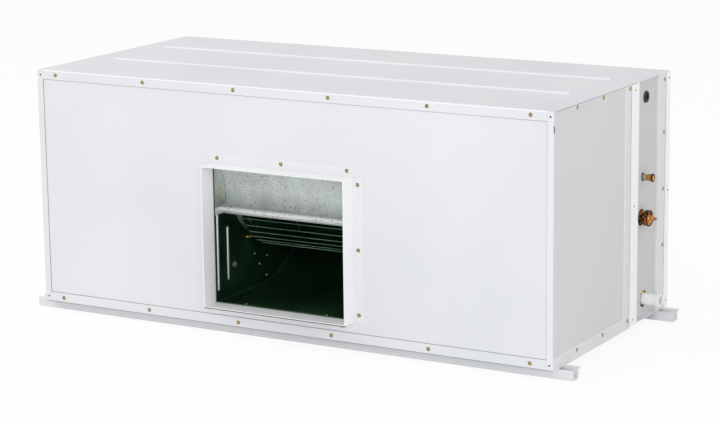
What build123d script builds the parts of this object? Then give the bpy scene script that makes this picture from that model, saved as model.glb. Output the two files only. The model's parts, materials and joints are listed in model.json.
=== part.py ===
from build123d import *
import math
import os

os.makedirs("parts", exist_ok=True)

# A ducted air conditioner's indoor unit, in millimetres. X runs along the casing, with the
# pipes at +X, Y runs from the air outlet to the return side, and Z is up. The origin is under
# the middle of the unit, on the underside of its mounting rails.

# Casing
casing_length = 1200.0
casing_height = 500.0
sheet = 1.2
seam = 0.4
corner_return = 14.0
rear_leg = 40.0
top_flange = 19.0
base_flange = 20.0
post_leg = 25.0
post_sheet = 1.5

# Pressed beads along the top cover
bead_width = 10.0
bead_rise = 2.0
bead_end_margin = 57.0
bead_places = (195.0, 390.0)

# Right side
side_panel_gap = 76.0
mid_post_width = 39.0
rear_post_width = 23.0
post_hole_radius = 2.5
post_hole_margin = 14.0
rear_hole_inset = 6.0
margin_width = 27.0
margin_rise = 2.5
mid_post_return = 25.0
pipe_recess = 8.0
pipe_margin = 30.0
pipe_slope = 4.0

# Mounting rails
rail_height = 20.0
rail_sheet = 2.0
rail_setback = 18.0
rail_web_gap = 24.0
rail_lip = 12.0
rear_rail_setback = 49.0
rail_overhang = 34.0
slot_width = 12.0
slot_length = 20.0

# Outlet collar on the front
collar_side_gap = 2.0
collar_height = 292.5
collar_bottom = 44.5
collar_depth = 40.0
collar_sheet = 1.5
collar_foot = 21.0

# Return flange on the back
return_side_margin = 90.0
return_bottom = 62.0
return_top_margin = 46.0
return_flange_depth = 25.0
return_foot = 20.0

# Blower: a double-inlet wheel with forward-curved blades in a scroll
outlet_inner_width = 325.0
scroll_sheet = 1.2
scroll_bottom = 46.0
scroll_step = 22.0
scroll_first_radius = 169.5
scroll_rear_reach = 380.0
plate_lip = 6.0
outlet_flange = 20.0
lip_drop = 33.5
lip_gap = 12.0
lip_radius = 4.0
cutoff_bow = 4.0
wheel_radius = 130.0
wheel_half_width = 133.5
blade_depth = 22.0
blade_count = 43
blade_sheet = 0.9
blade_lean = 3.6
blade_bow = 4.5
blade_taper = 0.2
blade_runs = 3
rim_width = 3.0
rim_depth = 14.0
disc_sheet = 1.5
hub_radius = 20.0
hub_half_length = 20.0
hub_flange_radius = 45.0
hub_flange = 3.0
inlet_radius = 100.0
inlet_flange = 22.0
inlet_reach = 22.0
foot_height = 80.0
foot_width = 30.0
foot_front = 60.0
foot_length = 270.0

# Motor
motor_radius = 70.0
motor_start = 42.0
motor_length = 150.0
motor_bell = 28.0
bell_runs = 2
motor_nose_wall = 6.0
motor_bore_gap = 2.0
shaft_radius = 6.35
shaft_clearance = 0.05
shaft_tail = 12.0
bearing_radius = 16.0
bearing_width = 9.0
band_sheet = 1.5
band_width = 24.0
arm_sheet = 3.0
arm_width = 24.0
arm_count = 3
arm_rise = 14.0
isolator_radius = 8.0
isolator_height = 6.0

# Coil and its pipes
tube_pitch = 25.4
row_pitch = 22.0
tube_radius = 4.76
bend_stub = 2.0
bend_crown = 0.87
bend_flat = 0.5
tube_sides = 6
circuit_tubes = 6
circuits = 3
row_count = 3
coil_gap = 50.0
coil_rear_gap = 64.0
coil_bend_space = 30.0
coil_pipe_space = 80.0
coil_plate = 1.5
coil_lip = 12.0
fin_groove_pitch = 40.0
fin_groove_width = 6.0
fin_groove_depth = 3.0
gas_header_offset = 40.0
gas_header_radius = 17.5
gas_radius = 14.3
gas_bend = 28.0
gas_setback = 15.0
gas_swell = 2.0
gas_spun_end = 12.0
gas_height = 214.0
gas_end = 16.0
liquid_radius = 6.0
liquid_header_offset = 28.0
liquid_header_radius = 7.5
liquid_fitting = 16.0
liquid_height = 297.0
liquid_end = 15.0
pipe_setback = 35.0
pipe_hole_gap = 3.0

# Drain
pan_floor = 28.0
pan_height = 30.0
pan_sheet = 1.2
pan_front_gap = 25.0
pan_rear_gap = 6.0
pan_left_gap = 6.0
pan_right_gap = 16.0
foam_wall = 4.0
drain_height = 40.0
drain_radius = 12.5
drain_bore = 9.5
drain_end = 31.0
drain_hole_radius = 17.5
drain_ring = 8.0
drain_ring_rise = 1.5

# Electrical parts
grommet_height = 461.0
grommet_radius = 12.5
grommet_neck = 10.0
grommet_bore = 6.5
grommet_face = 3.0
box_width = 110.0
box_depth = 140.0
box_height = 260.0
box_bottom = 140.0
box_side_gap = 10.0
box_lip = 10.0
terminal_length = 90.0
terminal_ways = 6
terminal_height = 22.0
terminal_step = 9.0
terminal_wall = 4.0
terminal_inset = 20.0
capacitor_radius = 22.5
capacitor_height = 90.0

# Liners
liner = 8.0
liner_gap = 6.0

# Sizes and places worked out from the sizes above; the casing is as deep as its blower and coil need
coil_front = scroll_rear_reach + coil_gap
coil_back = coil_front + row_count * row_pitch
casing_depth = coil_back + coil_rear_gap
side_panel_depth = coil_front - side_panel_gap
pan_front = coil_front - pan_front_gap
pan_right_end = casing_length / 2 - pan_right_gap
half_length = casing_length / 2
return_half = half_length - return_side_margin
overall_depth = collar_depth + casing_depth + return_flange_depth
front = collar_depth - overall_depth / 2
back = front + casing_depth
base = rail_height
top = base + casing_height
panel_face = front + sheet
panel_back = front + 2 * sheet
side_inner = half_length - sheet
mid_post_front = front + side_panel_depth
mid_post_back = mid_post_front + mid_post_width
rear_post_front = back - rear_post_width
front_flange_half = half_length - corner_return - seam
rear_flange_half = half_length - rear_leg - seam
recess_face = half_length - pipe_recess
pipe_y = front + coil_back - row_pitch / 2 - pipe_setback
plate_inner = outlet_inner_width / 2
plate_outer = plate_inner + scroll_sheet
outlet_half = plate_inner + collar_side_gap
collar_half = outlet_half + collar_sheet
outlet_low = base + collar_bottom + collar_sheet
outlet_high = base + collar_bottom + collar_height - collar_sheet
axis_y = front + scroll_rear_reach - scroll_first_radius - 1.5 * scroll_step
axis_z = base + scroll_bottom + scroll_first_radius + 2.5 * scroll_step
coil_left_end = half_length - coil_bend_space
coil_right_end = half_length - coil_pipe_space
motor_end = motor_start + motor_length
coil_bottom = pan_floor + pan_sheet
coil_height = circuits * circuit_tubes * tube_pitch
gas_header_x = coil_right_end + gas_header_offset
liquid_header_x = coil_right_end + liquid_header_offset
gas_y = pipe_y - gas_setback
liquid_y = front + coil_front + row_pitch / 2


def block(x, y, z):
    """A cuboid between a pair of limits along each axis."""
    pairs = (x, y, z)
    size = [high - low for low, high in pairs]
    middle = [(high + low) / 2 for low, high in pairs]
    return Pos(*middle) * Box(*size)


def sheet_section(path, thickness):
    """The section of a folded sheet: a path, and its parallel to the left at the sheet's thickness."""
    points = [Vector(*point) for point in path]
    normals = []
    for start, end in zip(points, points[1:]):
        along = (end - start).normalized()
        normals.append(Vector(-along.Y, along.X))
    ends = [normals[0]] + normals + [normals[-1]]
    parallel = []
    for point, before, after in zip(points, ends, ends[1:]):
        mitre = (before + after) / (1 + before.dot(after))
        parallel.append(point + mitre * thickness)
    outline = [(point.X, point.Y) for point in points + parallel[::-1]]
    return Polygon(*outline, align=None)


def drawn(section, plane, limits):
    """A section in a plane, drawn out between two limits along the plane's normal."""
    low, high = limits
    return extrude(plane.offset(low) * section, high - low, dir=plane.z_dir)


def folded(path, thickness, plane, limits):
    """A sheet folded along a path in a plane, drawn out between two limits along its normal."""
    return drawn(sheet_section(path, thickness), plane, limits)


def drilled(body, radius, places, direction, length):
    """A body with a round hole at each place, bored along a direction."""
    for place in places:
        body -= Plane(origin=place, z_dir=direction) * Cylinder(radius, length)
    return body


def turned(outline, x=0.0, y=0.0, z=0.0):
    """A body of revolution about an axis along X; the outline gives places along X and radii."""
    return Pos(x, y, z) * revolve(Polygon(*outline, align=None), Axis.X)


def ring(x_limits, radii, y=0.0, z=0.0):
    """A plain ring about an axis along X."""
    low, high = x_limits
    inner, outer = radii
    return turned([(low, inner), (high, inner), (high, outer), (low, outer)], y=y, z=z)


def mirrored(body):
    """The same piece on the other side of the unit's middle."""
    return mirror(body, about=Plane.YZ)


def casing_flange(face_y, inward, half, low, high):
    """One turned-down or turned-up flange along the front or back of a cover."""
    return block((-half, half), sorted((face_y, face_y + inward * sheet)), (low, high))


def bead(place):
    """A pressed bead along the top cover: an arched strip with its corners cut."""
    length = casing_length - 2 * bead_end_margin
    strip = Rectangle(length, bead_width)
    outline = chamfer(strip.vertices(), bead_width * 0.3)
    body = drawn(Pos(0, front + place) * outline, Plane.XY, (top, top + bead_rise))
    upper = body.faces().sort_by(Axis.Z)[-1]
    return chamfer(upper.edges(), bead_rise * 0.9)


def top_cover():
    cover = block((-half_length, half_length), (front, back), (top - sheet, top))
    cover += casing_flange(front, 1, front_flange_half, top - top_flange, top - sheet)
    cover += casing_flange(back, -1, rear_flange_half, top - top_flange, top - sheet)
    limits_y = (panel_back + post_leg + seam, mid_post_front - seam)
    side = block((side_inner - sheet, side_inner), limits_y, (top - top_flange, top - sheet))
    cover += side
    cover += mirrored(side)
    for place in bead_places:
        cover += bead(place)
    return cover


def base_pan():
    pan = block((-side_inner, side_inner), (front + sheet, back - sheet), (base, base + sheet))
    for face_y, inward, half in ((front, 1, front_flange_half), (back, -1, rear_flange_half)):
        pan += casing_flange(face_y, inward, half, base, base + base_flange)
    limits_y = (panel_back + post_leg + seam, mid_post_front - seam)
    side = block((side_inner - sheet, side_inner), limits_y, (base + sheet, base + base_flange))
    pan += side
    return pan + mirrored(side)


def side_panel():
    """The right-hand front panel: wrapped round the corner, with a raised margin low and behind."""
    corner = half_length - corner_return
    path = [(half_length, mid_post_front - seam), (half_length, front), (corner, front)]
    panel = folded([(x, y) for x, y in path[::-1]], sheet, Plane.XY, (base, top - sheet))
    rear = mid_post_front - seam
    inner_y = rear - margin_width
    inner_z = base + margin_width
    outline = [
        (front, base),
        (rear, base),
        (rear, top - sheet),
        (inner_y, top - sheet),
        (inner_y, inner_z),
        (front, inner_z),
    ]
    crest = half_length + margin_rise
    margin = drawn(Polygon(*outline, align=None), Plane.YZ, (half_length, crest))
    edges = [
        edge
        for edge in margin.edges()
        if abs(edge.center().X - crest) < 0.01
        and (abs(edge.center().Y - inner_y) < 0.01 or abs(edge.center().Z - inner_z) < 0.01)
    ]
    return panel + chamfer(edges, margin_rise * 0.9)


def post_hole_heights():
    """Every post's fixing holes: near its foot, at half its height and near its top."""
    return base + post_hole_margin, (base + top) / 2, top - post_hole_margin


def mid_post():
    """A channel post between the side panel and the pipe panel, with three fixing holes."""
    outer = half_length + margin_rise
    inner = outer - mid_post_return
    path = [(outer, mid_post_front), (outer, mid_post_back)]
    path = [(inner, mid_post_front), *path, (inner, mid_post_back)]
    post = folded(path, sheet, Plane.XY, (base + sheet, top - sheet))
    middle = (mid_post_front + mid_post_back) / 2
    places = [(outer, middle, height) for height in post_hole_heights()]
    return drilled(post, post_hole_radius, places, (1, 0, 0), 4 * sheet)


def pipe_panel():
    """The recessed panel that the pipes, the cable and the drain come through."""
    slope_front = rear_post_front - pipe_margin - pipe_slope
    path = [
        (recess_face, mid_post_back),
        (recess_face, slope_front),
        (half_length, slope_front + pipe_slope),
        (half_length, rear_post_front - seam),
    ]
    panel = folded(path, sheet, Plane.XY, (base + sheet, top - sheet))
    holes = (
        (grommet_neck, pipe_y, grommet_height),
        (liquid_radius + pipe_hole_gap, liquid_y, liquid_height),
        (gas_radius + pipe_hole_gap, gas_y, gas_height),
        (drain_hole_radius, pipe_y, drain_height),
    )
    for radius, y, height in holes:
        panel = drilled(panel, radius, [(recess_face, y, base + height)], (1, 0, 0), pipe_recess)
    return panel


def rear_post():
    """The corner post at the back: an angle with a narrow side leg and a wide rear leg."""
    path = [(half_length, rear_post_front), (half_length, back), (half_length - rear_leg, back)]
    post = folded(path, sheet, Plane.XY, (base, top - sheet))
    places = [(half_length, back - rear_hole_inset, height) for height in post_hole_heights()]
    return drilled(post, post_hole_radius, places, (1, 0, 0), 4 * sheet)


def plain_side_panel():
    """The left-hand side: one panel from the front corner to the rear post."""
    corner = half_length - corner_return
    path = [(corner, front), (half_length, front), (half_length, rear_post_front - seam)]
    return mirrored(folded(path, sheet, Plane.XY, (base, top - sheet)))


def inner_post():
    """The galvanised angle behind a front corner, which the front and side panels are screwed to."""
    outer = side_inner - seam / 2
    path = [(outer - post_leg, panel_back), (outer, panel_back), (outer, panel_back + post_leg)]
    return folded(path, post_sheet, Plane.XY, (base + sheet, top - sheet))


def front_panel():
    half = side_inner - seam / 2
    panel = block((-half, half), (panel_face, panel_back), (base + sheet, top - sheet))
    opening = block((-outlet_half, outlet_half), (front - 1, panel_back + 1), (outlet_low, outlet_high))
    return panel - opening


def rear_frame():
    """The back panel, with the opening that return air comes in through."""
    half = side_inner - sheet
    low, high = return_opening()
    frame = block((-half, half), (back - 2 * sheet, back - sheet), (base + sheet, top - sheet))
    return frame - block((-return_half, return_half), (back - 5, back + 5), (low, high))


def return_opening():
    return base + return_bottom, top - return_top_margin


def flanged_edge(mouth, face, depth_side, edge, foot, thickness):
    """An angle's path: from the mouth to the panel along a duct wall, then out along the panel."""
    return [(mouth, edge), (face, edge), (face, edge + depth_side * (foot + thickness))]


def collar_pieces():
    """Four angles round the outlet: each foot is only as long as its side, so the corners stay open."""
    mouth = front - collar_depth
    foot = collar_foot
    path = flanged_edge(mouth, panel_face, 1, outlet_high, foot, collar_sheet)
    upper = folded(path, collar_sheet, Plane.YZ, (-collar_half, collar_half))
    middle_z = (outlet_low + outlet_high) / 2
    lower = mirror(upper, about=Plane.XY.offset(middle_z))
    path = [(x, y) for y, x in flanged_edge(mouth, panel_face, 1, outlet_half, foot, collar_sheet)]
    right = folded(path, -collar_sheet, Plane.XY, (outlet_low, outlet_high))
    return {
        "outlet_collar_top": upper,
        "outlet_collar_bottom": lower,
        "outlet_collar_right": right,
        "outlet_collar_left": mirrored(right),
    }


def return_flange_pieces():
    """Four angles round the return opening, for the return duct."""
    mouth = back + return_flange_depth
    face = back - sheet
    low, high = return_opening()
    path = flanged_edge(mouth, face, 1, high, return_foot, collar_sheet)
    half = return_half + collar_sheet
    upper = folded(path, -collar_sheet, Plane.YZ, (-half, half))
    lower = mirror(upper, about=Plane.XY.offset((low + high) / 2))
    path = [(x, y) for y, x in flanged_edge(mouth, face, 1, return_half, return_foot, collar_sheet)]
    right = folded(path, collar_sheet, Plane.XY, (low, high))
    return {
        "return_flange_top": upper,
        "return_flange_bottom": lower,
        "return_flange_right": right,
        "return_flange_left": mirrored(right),
    }


def mount_rail(setback):
    """An open channel under the casing with a lip behind, slotted where it stands out at each end."""
    web = front + setback
    rear = web + rail_web_gap
    path = [(web, rail_height), (web, 0), (rear, 0), (rear, rail_height)]
    half = half_length + rail_overhang
    rail = folded(path, rail_sheet, Plane.YZ, (-half, half))
    lip = block((-half, half), (rear - rail_sheet, rear + rail_lip), (rail_height - rail_sheet, rail_height))
    rail += lip
    place_x = half_length + rail_overhang / 2
    slot = drawn(SlotOverall(slot_length, slot_width), Plane.XY, (-rail_sheet, 2 * rail_sheet))
    for x in (-place_x, place_x):
        rail -= Pos(x, (web + rear) / 2, 0) * slot
    return rail


def scroll_centres():
    """Centres and radii of the scroll's three arcs, set out from a square about the wheel's axis."""
    half = scroll_step / 2
    upper = axis_z + half + scroll_first_radius
    lip_y, lip_z = lip_place()
    across = axis_y + half - lip_y
    down = upper - lip_z
    first = (across**2 + down**2) / (2 * down)
    return [
        ((axis_y + half, upper - first), first),
        ((axis_y + half, axis_z - half), scroll_first_radius + scroll_step),
        ((axis_y - half, axis_z - half), scroll_first_radius + 2 * scroll_step),
    ]


def lip_place():
    """The cut-off's lip, just clear of the wheel and a little below its axis."""
    reach = wheel_radius + lip_gap
    return axis_y - math.sqrt(reach**2 - lip_drop**2), axis_z - lip_drop


def scroll_edges(growth, first_end):
    """The scroll's three arcs, grown outwards, from the first arc's far end round to the bottom."""
    spans = ((90.0, first_end), (0.0, 90.0), (-90.0, 0.0))
    edges = []
    for (centre, radius), (low, high) in zip(scroll_centres(), spans):
        edges.append(CenterArc(centre, radius + growth, low, high - low))
    return edges


def lip_angle():
    (centre_y, centre_z), _ = scroll_centres()[0]
    lip_y, lip_z = lip_place()
    return 180.0 + math.degrees(math.atan2(centre_z - lip_z, centre_y - lip_y))


def blower_scroll():
    """The wrap: one strip from the cut-off's lip over the top, round the back and out along the bottom."""
    angle = lip_angle()
    inner = scroll_edges(0, angle)
    outer = scroll_edges(scroll_sheet, angle)
    floor = base + scroll_bottom
    last_y = scroll_centres()[2][0][0]
    rows = [Line((last_y, floor), (panel_back, floor))]
    rows.append(Line((last_y, floor - scroll_sheet), (panel_back, floor - scroll_sheet)))
    rows.append(Line((panel_back, floor), (panel_back, floor - scroll_sheet)))
    rows.append(Line(inner[0] @ 1, outer[0] @ 1))
    return drawn(make_face(inner + outer + rows), Plane.YZ, (-plate_inner, plate_inner))


def blower_cutoff():
    """The bowed plate from the outlet's top edge back to a rolled lip beside the wheel."""
    (centre_y, centre_z), first = scroll_centres()[0]
    turn = math.radians(lip_angle())
    reach = first + scroll_sheet + lip_radius
    start = (panel_back, outlet_high)
    end = (centre_y + reach * math.cos(turn), centre_z + reach * math.sin(turn))
    middle = ((start[0] + end[0]) / 2 + cutoff_bow, (start[1] + end[1]) / 2)
    upper = ThreePointArc(start, middle, end)
    lower = ThreePointArc(*[(y, z - scroll_sheet) for y, z in (start, middle, end)])
    plate = make_face([upper, lower, Line(upper @ 0, lower @ 0), Line(upper @ 1, lower @ 1)])
    plate += Pos(*end) * Circle(lip_radius)
    return drawn(plate, Plane.YZ, (-plate_inner, plate_inner))


def blower_side_plate():
    """A side of the blower: the scroll's outline with a lip all round, an inlet hole and a front flange."""
    (centre_y, centre_z), first = scroll_centres()[0]
    shoulder_z = outlet_high + plate_lip
    angle = 180.0 - math.degrees(math.asin((shoulder_z - centre_z) / (first + plate_lip)))
    edges = scroll_edges(plate_lip, angle)
    low = base + scroll_bottom - plate_lip
    last_y = scroll_centres()[2][0][0]
    corners = [(last_y, low), (panel_back, low), (panel_back, shoulder_z), tuple(edges[0] @ 1)[:2]]
    edges += [Line(start, end) for start, end in zip(corners, corners[1:])]
    plate = drawn(make_face(edges), Plane.YZ, (plate_inner, plate_outer))
    plate -= drilled_inlet()
    flange = block(
        (plate_inner, plate_inner + outlet_flange),
        (panel_back, panel_back + scroll_sheet),
        (low, shoulder_z),
    )
    return plate + flange


def drilled_inlet():
    rim = inlet_radius + inlet_flange / 2
    return Pos(plate_inner, axis_y, axis_z) * Rot(0, 90, 0) * Cylinder(rim, 8 * scroll_sheet)


def inlet_ring():
    """A bell mouth on the outside of a side plate, reaching in to the wheel's rim."""
    throat = inlet_radius + scroll_sheet
    mouth = inlet_radius + inlet_flange / 2 - scroll_sheet
    path = [
        (plate_outer, inlet_radius + inlet_flange),
        (plate_outer, mouth),
        (plate_outer - inlet_reach * 0.4, throat + (mouth - throat) * 0.3),
        (plate_outer - inlet_reach, throat),
    ]
    return Pos(0, axis_y, axis_z) * revolve(sheet_section(path, scroll_sheet), Axis.X)


def blower_foot():
    """An angle along the base pan that carries one side plate."""
    floor = base + sheet
    path = [(plate_outer + foot_width, floor), (plate_outer, floor), (plate_outer, floor + foot_height)]
    rear = front + foot_front + foot_length
    return folded(path, -scroll_sheet, Plane.XZ, (-rear, -rear + foot_length))


def blade_point(shift, share):
    """A place across a blade's face, turned by a shift: its root is at share 0 and its tip at share 1."""
    bow = math.degrees(blade_bow / (wheel_radius - blade_depth / 2))
    angle = shift * (1 - blade_taper * share) + 4 * bow * share * (1 - share) - blade_lean * share
    radius = wheel_radius - blade_depth * (1 - share)
    return radius * math.cos(math.radians(angle)), radius * math.sin(math.radians(angle))


def wheel_blades(low, high):
    """One half of the wheel's blades: short strips bowed and leaning the way that the wheel turns."""
    shares = [index / blade_runs for index in range(blade_runs + 1)]
    thickness = math.degrees(blade_sheet / (wheel_radius - blade_depth))
    near = [blade_point(0.0, share) for share in shares]
    far = [blade_point(thickness, share) for share in shares]
    blade = drawn(Polygon(*near, *far[::-1], align=None), Plane.YZ, (low, high))
    step = 360.0 / blade_count
    blades = [Pos(0, axis_y, axis_z) * Rot(index * step, 0, 0) * blade for index in range(blade_count)]
    return Compound(children=blades)


def wheel_rim():
    low = wheel_half_width - rim_width
    return ring((low, wheel_half_width), (wheel_radius - rim_depth, wheel_radius), axis_y, axis_z)


def wheel_disc():
    half = disc_sheet / 2
    return ring((-half, half), (hub_radius, wheel_radius), axis_y, axis_z)


def wheel_hub():
    """A turned hub through the disc, with a flange against the disc's motor side."""
    seat = disc_sheet / 2
    outline = [
        (-hub_half_length, shaft_radius),
        (-hub_half_length, hub_radius),
        (seat, hub_radius),
        (seat, hub_flange_radius),
        (seat + hub_flange, hub_flange_radius),
        (seat + hub_flange, hub_radius),
        (hub_half_length, hub_radius),
        (hub_half_length, shaft_radius),
    ]
    return turned(outline, y=axis_y, z=axis_z)


def motor_shaft():
    start = -hub_half_length - hub_flange
    end = motor_end + shaft_tail
    outline = [
        (start, 0),
        (start, shaft_radius - 1),
        (start + 1, shaft_radius),
        (end - 1, shaft_radius),
        (end, shaft_radius - 1),
        (end, 0),
    ]
    return turned(outline, y=axis_y, z=axis_z)


def motor_body():
    """The motor's can: a drum with domed end bells and a bearing pocket in each."""
    nose = bearing_radius + motor_nose_wall
    bore = shaft_radius + motor_bore_gap
    dome = []
    for index in range(bell_runs + 1):
        turn = math.pi / 2 * index / bell_runs
        dome.append((motor_bell * (1 - math.cos(turn)), nose + (motor_radius - nose) * math.sin(turn)))
    outline = [(motor_start, bearing_radius)]
    outline += [(motor_start + along, radius) for along, radius in dome]
    outline += [(motor_end - along, radius) for along, radius in dome[::-1]]
    outline += [
        (motor_end, bearing_radius),
        (motor_end - bearing_width, bearing_radius),
        (motor_end - bearing_width, bore),
        (motor_start + bearing_width, bore),
        (motor_start + bearing_width, bearing_radius),
    ]
    return turned(outline, y=axis_y, z=axis_z)


def motor_bearings():
    radii = (shaft_radius + shaft_clearance, bearing_radius)
    near = ring((motor_start, motor_start + bearing_width), radii, axis_y, axis_z)
    far = ring((motor_end - bearing_width, motor_end), radii, axis_y, axis_z)
    return Compound(children=[near, far])


def arm_seat():
    """Where the arms' outer faces lie along X: a strap's thickness beyond the isolators."""
    return plate_outer + scroll_sheet + isolator_height + arm_sheet


def motor_band():
    """The band clamped round the motor's drum, about the wheel's axis."""
    start = motor_end - motor_bell - band_width
    return ring((start, start + band_width), (motor_radius, motor_radius + band_sheet))


def isolator_radius_place():
    return inlet_radius + inlet_flange - isolator_radius - 2.0


def motor_mount():
    """The motor's band with three cranked straps welded on, which reach out to the inlet ring."""
    band_middle = motor_end - motor_bell - band_width / 2
    band_top = motor_radius + band_sheet
    seat = arm_seat()
    reach = isolator_radius_place() + isolator_radius
    foot = band_middle + band_width / 3
    path = [(band_middle - band_width / 3, band_top), (foot, band_top)]
    path += [(seat, band_top + arm_rise), (seat, reach)]
    strap = folded(path, arm_sheet, Plane.XZ, (-arm_width / 2, arm_width / 2))
    strap -= Rot(0, 90, 0) * Cylinder(motor_radius + band_sheet / 2, 4 * motor_length)
    mount = motor_band()
    for index in range(arm_count):
        mount += Rot(index * 360.0 / arm_count, 0, 0) * strap
    return Pos(0, axis_y, axis_z) * mount


def motor_isolators():
    """A rubber bush under each arm, on the inlet ring's flange."""
    start = plate_outer + scroll_sheet
    place = isolator_radius_place()
    bush = Rot(0, 90, 0) * Cylinder(isolator_radius, isolator_height)
    bush = Pos(start + isolator_height / 2, 0, place) * bush
    turns = [Rot(index * 360.0 / arm_count, 0, 0) for index in range(arm_count)]
    return Compound(children=[Pos(0, axis_y, axis_z) * turn * bush for turn in turns])


def coil_fins():
    """The fin pack: one section with grooves down its back, drawn up to the coil's height."""
    low_x = -coil_left_end + coil_plate
    high_x = coil_right_end - coil_plate
    rear = front + coil_back
    points = [(low_x, front + coil_front), (low_x, rear)]
    count = int((high_x - low_x) // fin_groove_pitch)
    first = low_x + ((high_x - low_x) - (count - 1) * fin_groove_pitch) / 2
    for index in range(count):
        middle = first + index * fin_groove_pitch
        near = middle - fin_groove_width / 2
        far = middle + fin_groove_width / 2
        depth = rear - fin_groove_depth
        points += [(near, rear), (near, depth), (far, depth), (far, rear)]
    points += [(high_x, rear), (high_x, front + coil_front)]
    low = base + coil_bottom
    return drawn(Polygon(*points, align=None), Plane.XY, (low, low + coil_height))


def coil_end_plate(x, inward):
    """A channel-shaped end plate, standing on the drain pan with its lips turned away from the fins."""
    near = front + coil_front
    rear = front + coil_back
    lip = x + inward * coil_lip
    path = [(lip, near), (x, near), (x, rear), (lip, rear)]
    low = base + coil_bottom
    return folded(path, -inward * coil_plate, Plane.XY, (low, low + coil_height))


def tube_place(row, index):
    """Where a tube comes through an end plate, counted from the front row and from the bottom."""
    y = front + coil_front + (row + 0.5) * row_pitch
    return y, base + coil_bottom + (index + 0.5) * tube_pitch


def return_bend(first, second, x, outward):
    """A bend of tube joining two neighbouring places on an end plate, in five mitred lengths."""
    (y1, z1), (y2, z2) = first, second
    span_y, span_z = y2 - y1, z2 - z1
    reach = math.hypot(span_y, span_z) / 2
    shoulder = x + outward * bend_stub
    crown = shoulder + outward * reach * bend_crown
    inset = (1 - bend_flat) / 2
    path = Polyline(
        (x, y1, z1),
        (shoulder, y1, z1),
        (crown, y1 + span_y * inset, z1 + span_z * inset),
        (crown, y2 - span_y * inset, z2 - span_z * inset),
        (shoulder, y2, z2),
        (x, y2, z2),
    )
    section = Plane(origin=path @ 0, z_dir=path % 0) * RegularPolygon(tube_radius, tube_sides)
    return sweep(section, path=path, transition=Transition.RIGHT)


def circuit_bends(pairs, x, outward):
    bends = []
    for circuit in range(circuits):
        first = circuit * circuit_tubes
        for (row_a, tube_a), (row_b, tube_b) in pairs:
            start = tube_place(row_a, first + tube_a)
            end = tube_place(row_b, first + tube_b)
            bends.append(return_bend(start, end, x, outward))
    return bends


def coil_bends():
    """The bends at the pipe end, from tube to tube and row to row, and the hairpins at the far end."""
    last = circuit_tubes - 1
    joined = [((0, last), (1, last)), ((1, 0), (2, 0))]
    joined += [((row, low), (row, low + 1)) for row in range(row_count) for low in range(1, last, 2)]
    hairpins = [((row, low), (row, low + 1)) for row in range(row_count) for low in range(0, last, 2)]
    near = circuit_bends(joined, coil_right_end, 1)
    far = circuit_bends(hairpins, -coil_left_end, -1)
    return Compound(children=near + far)


def tube_run(start, end, radius):
    """A straight solid length of tube between two places along one axis."""
    axis = Vector(*end) - Vector(*start)
    return extrude(Plane(origin=start, z_dir=axis) * Circle(radius), axis.length, dir=axis)


def header(x, radius, row, tube):
    """An upright header, and its short branches to one tube of each circuit."""
    margin = 2 * tube_radius
    y, low = tube_place(row, tube)
    high = tube_place(row, (circuits - 1) * circuit_tubes + tube)[1]
    body = tube_run((x, y, low - margin), (x, y, high + margin), radius)
    for circuit in range(circuits):
        _, z = tube_place(row, circuit * circuit_tubes + tube)
        branch = Pos(y, z) * RegularPolygon(tube_radius, tube_sides)
        body += drawn(branch, Plane.YZ, (coil_right_end, x))
    return body


def gas_header():
    return header(gas_header_x, gas_header_radius, row_count - 1, circuit_tubes - 1)


def liquid_header():
    return header(liquid_header_x, liquid_header_radius, 0, 0)


def gas_stub():
    """The suction pipe: from its header round a mitred bend and out through the panel to a spun-over end."""
    y, _ = tube_place(row_count - 1, 0)
    z = base + gas_height
    end = half_length + gas_end
    start = end - gas_spun_end
    turns = [(gas_header_x, gas_y + gas_bend, z), (gas_header_x + gas_bend, gas_y, z)]
    path = Polyline((gas_header_x, y, z), *turns, (start, gas_y, z))
    section = Plane(origin=path @ 0, z_dir=path % 0) * Circle(gas_radius)
    pipe = sweep(section, path=path, transition=Transition.RIGHT)
    swollen = gas_radius + gas_swell
    outline = [(start - gas_spun_end / 2, 0), (start - gas_spun_end / 2, gas_radius), (start, swollen)]
    outline += [(end - gas_spun_end / 3, swollen), (end, gas_radius * 0.6), (end, 0)]
    pipe += turned(outline, y=gas_y, z=z)
    reach = 2 * gas_header_radius
    return pipe - tube_run((gas_header_x, y, z - reach), (gas_header_x, y, z + reach), gas_header_radius)


def liquid_stub():
    """The liquid pipe: a thin tube straight out from its header, with a tapered flare fitting."""
    z = base + liquid_height
    end = half_length + liquid_end
    start = end - liquid_fitting
    outline = [(liquid_header_x, 0), (liquid_header_x, liquid_radius), (start, liquid_radius)]
    outline += [(start + liquid_fitting * 0.2, liquid_radius * 1.1), (end - 4, liquid_radius * 1.3)]
    outline += [(end, liquid_radius * 1.3), (end, 0)]
    pipe = turned(outline, y=liquid_y, z=z)
    reach = 2 * liquid_header_radius
    x, y = liquid_header_x, liquid_y
    return pipe - tube_run((x, y, z - reach), (x, y, z + reach), liquid_header_radius)


def pan_limits():
    rear = back - 2 * sheet - pan_rear_gap
    return (-side_inner + pan_left_gap, pan_right_end), (front + pan_front, rear)


def drain_pan():
    """A tray under the coil, open above, with a drain hole in its end wall."""
    (low_x, high_x), (low_y, high_y) = pan_limits()
    low = base + pan_floor
    pan = block((low_x, high_x), (low_y, high_y), (low, low + pan_height))
    inner_x = (low_x + pan_sheet, high_x - pan_sheet)
    inner_y = (low_y + pan_sheet, high_y - pan_sheet)
    pan -= block(inner_x, inner_y, (low + pan_sheet, low + pan_height + 1))
    place = (high_x, pipe_y, base + drain_height)
    return drilled(pan, drain_bore, [place], (1, 0, 0), 4 * pan_sheet)


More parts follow.
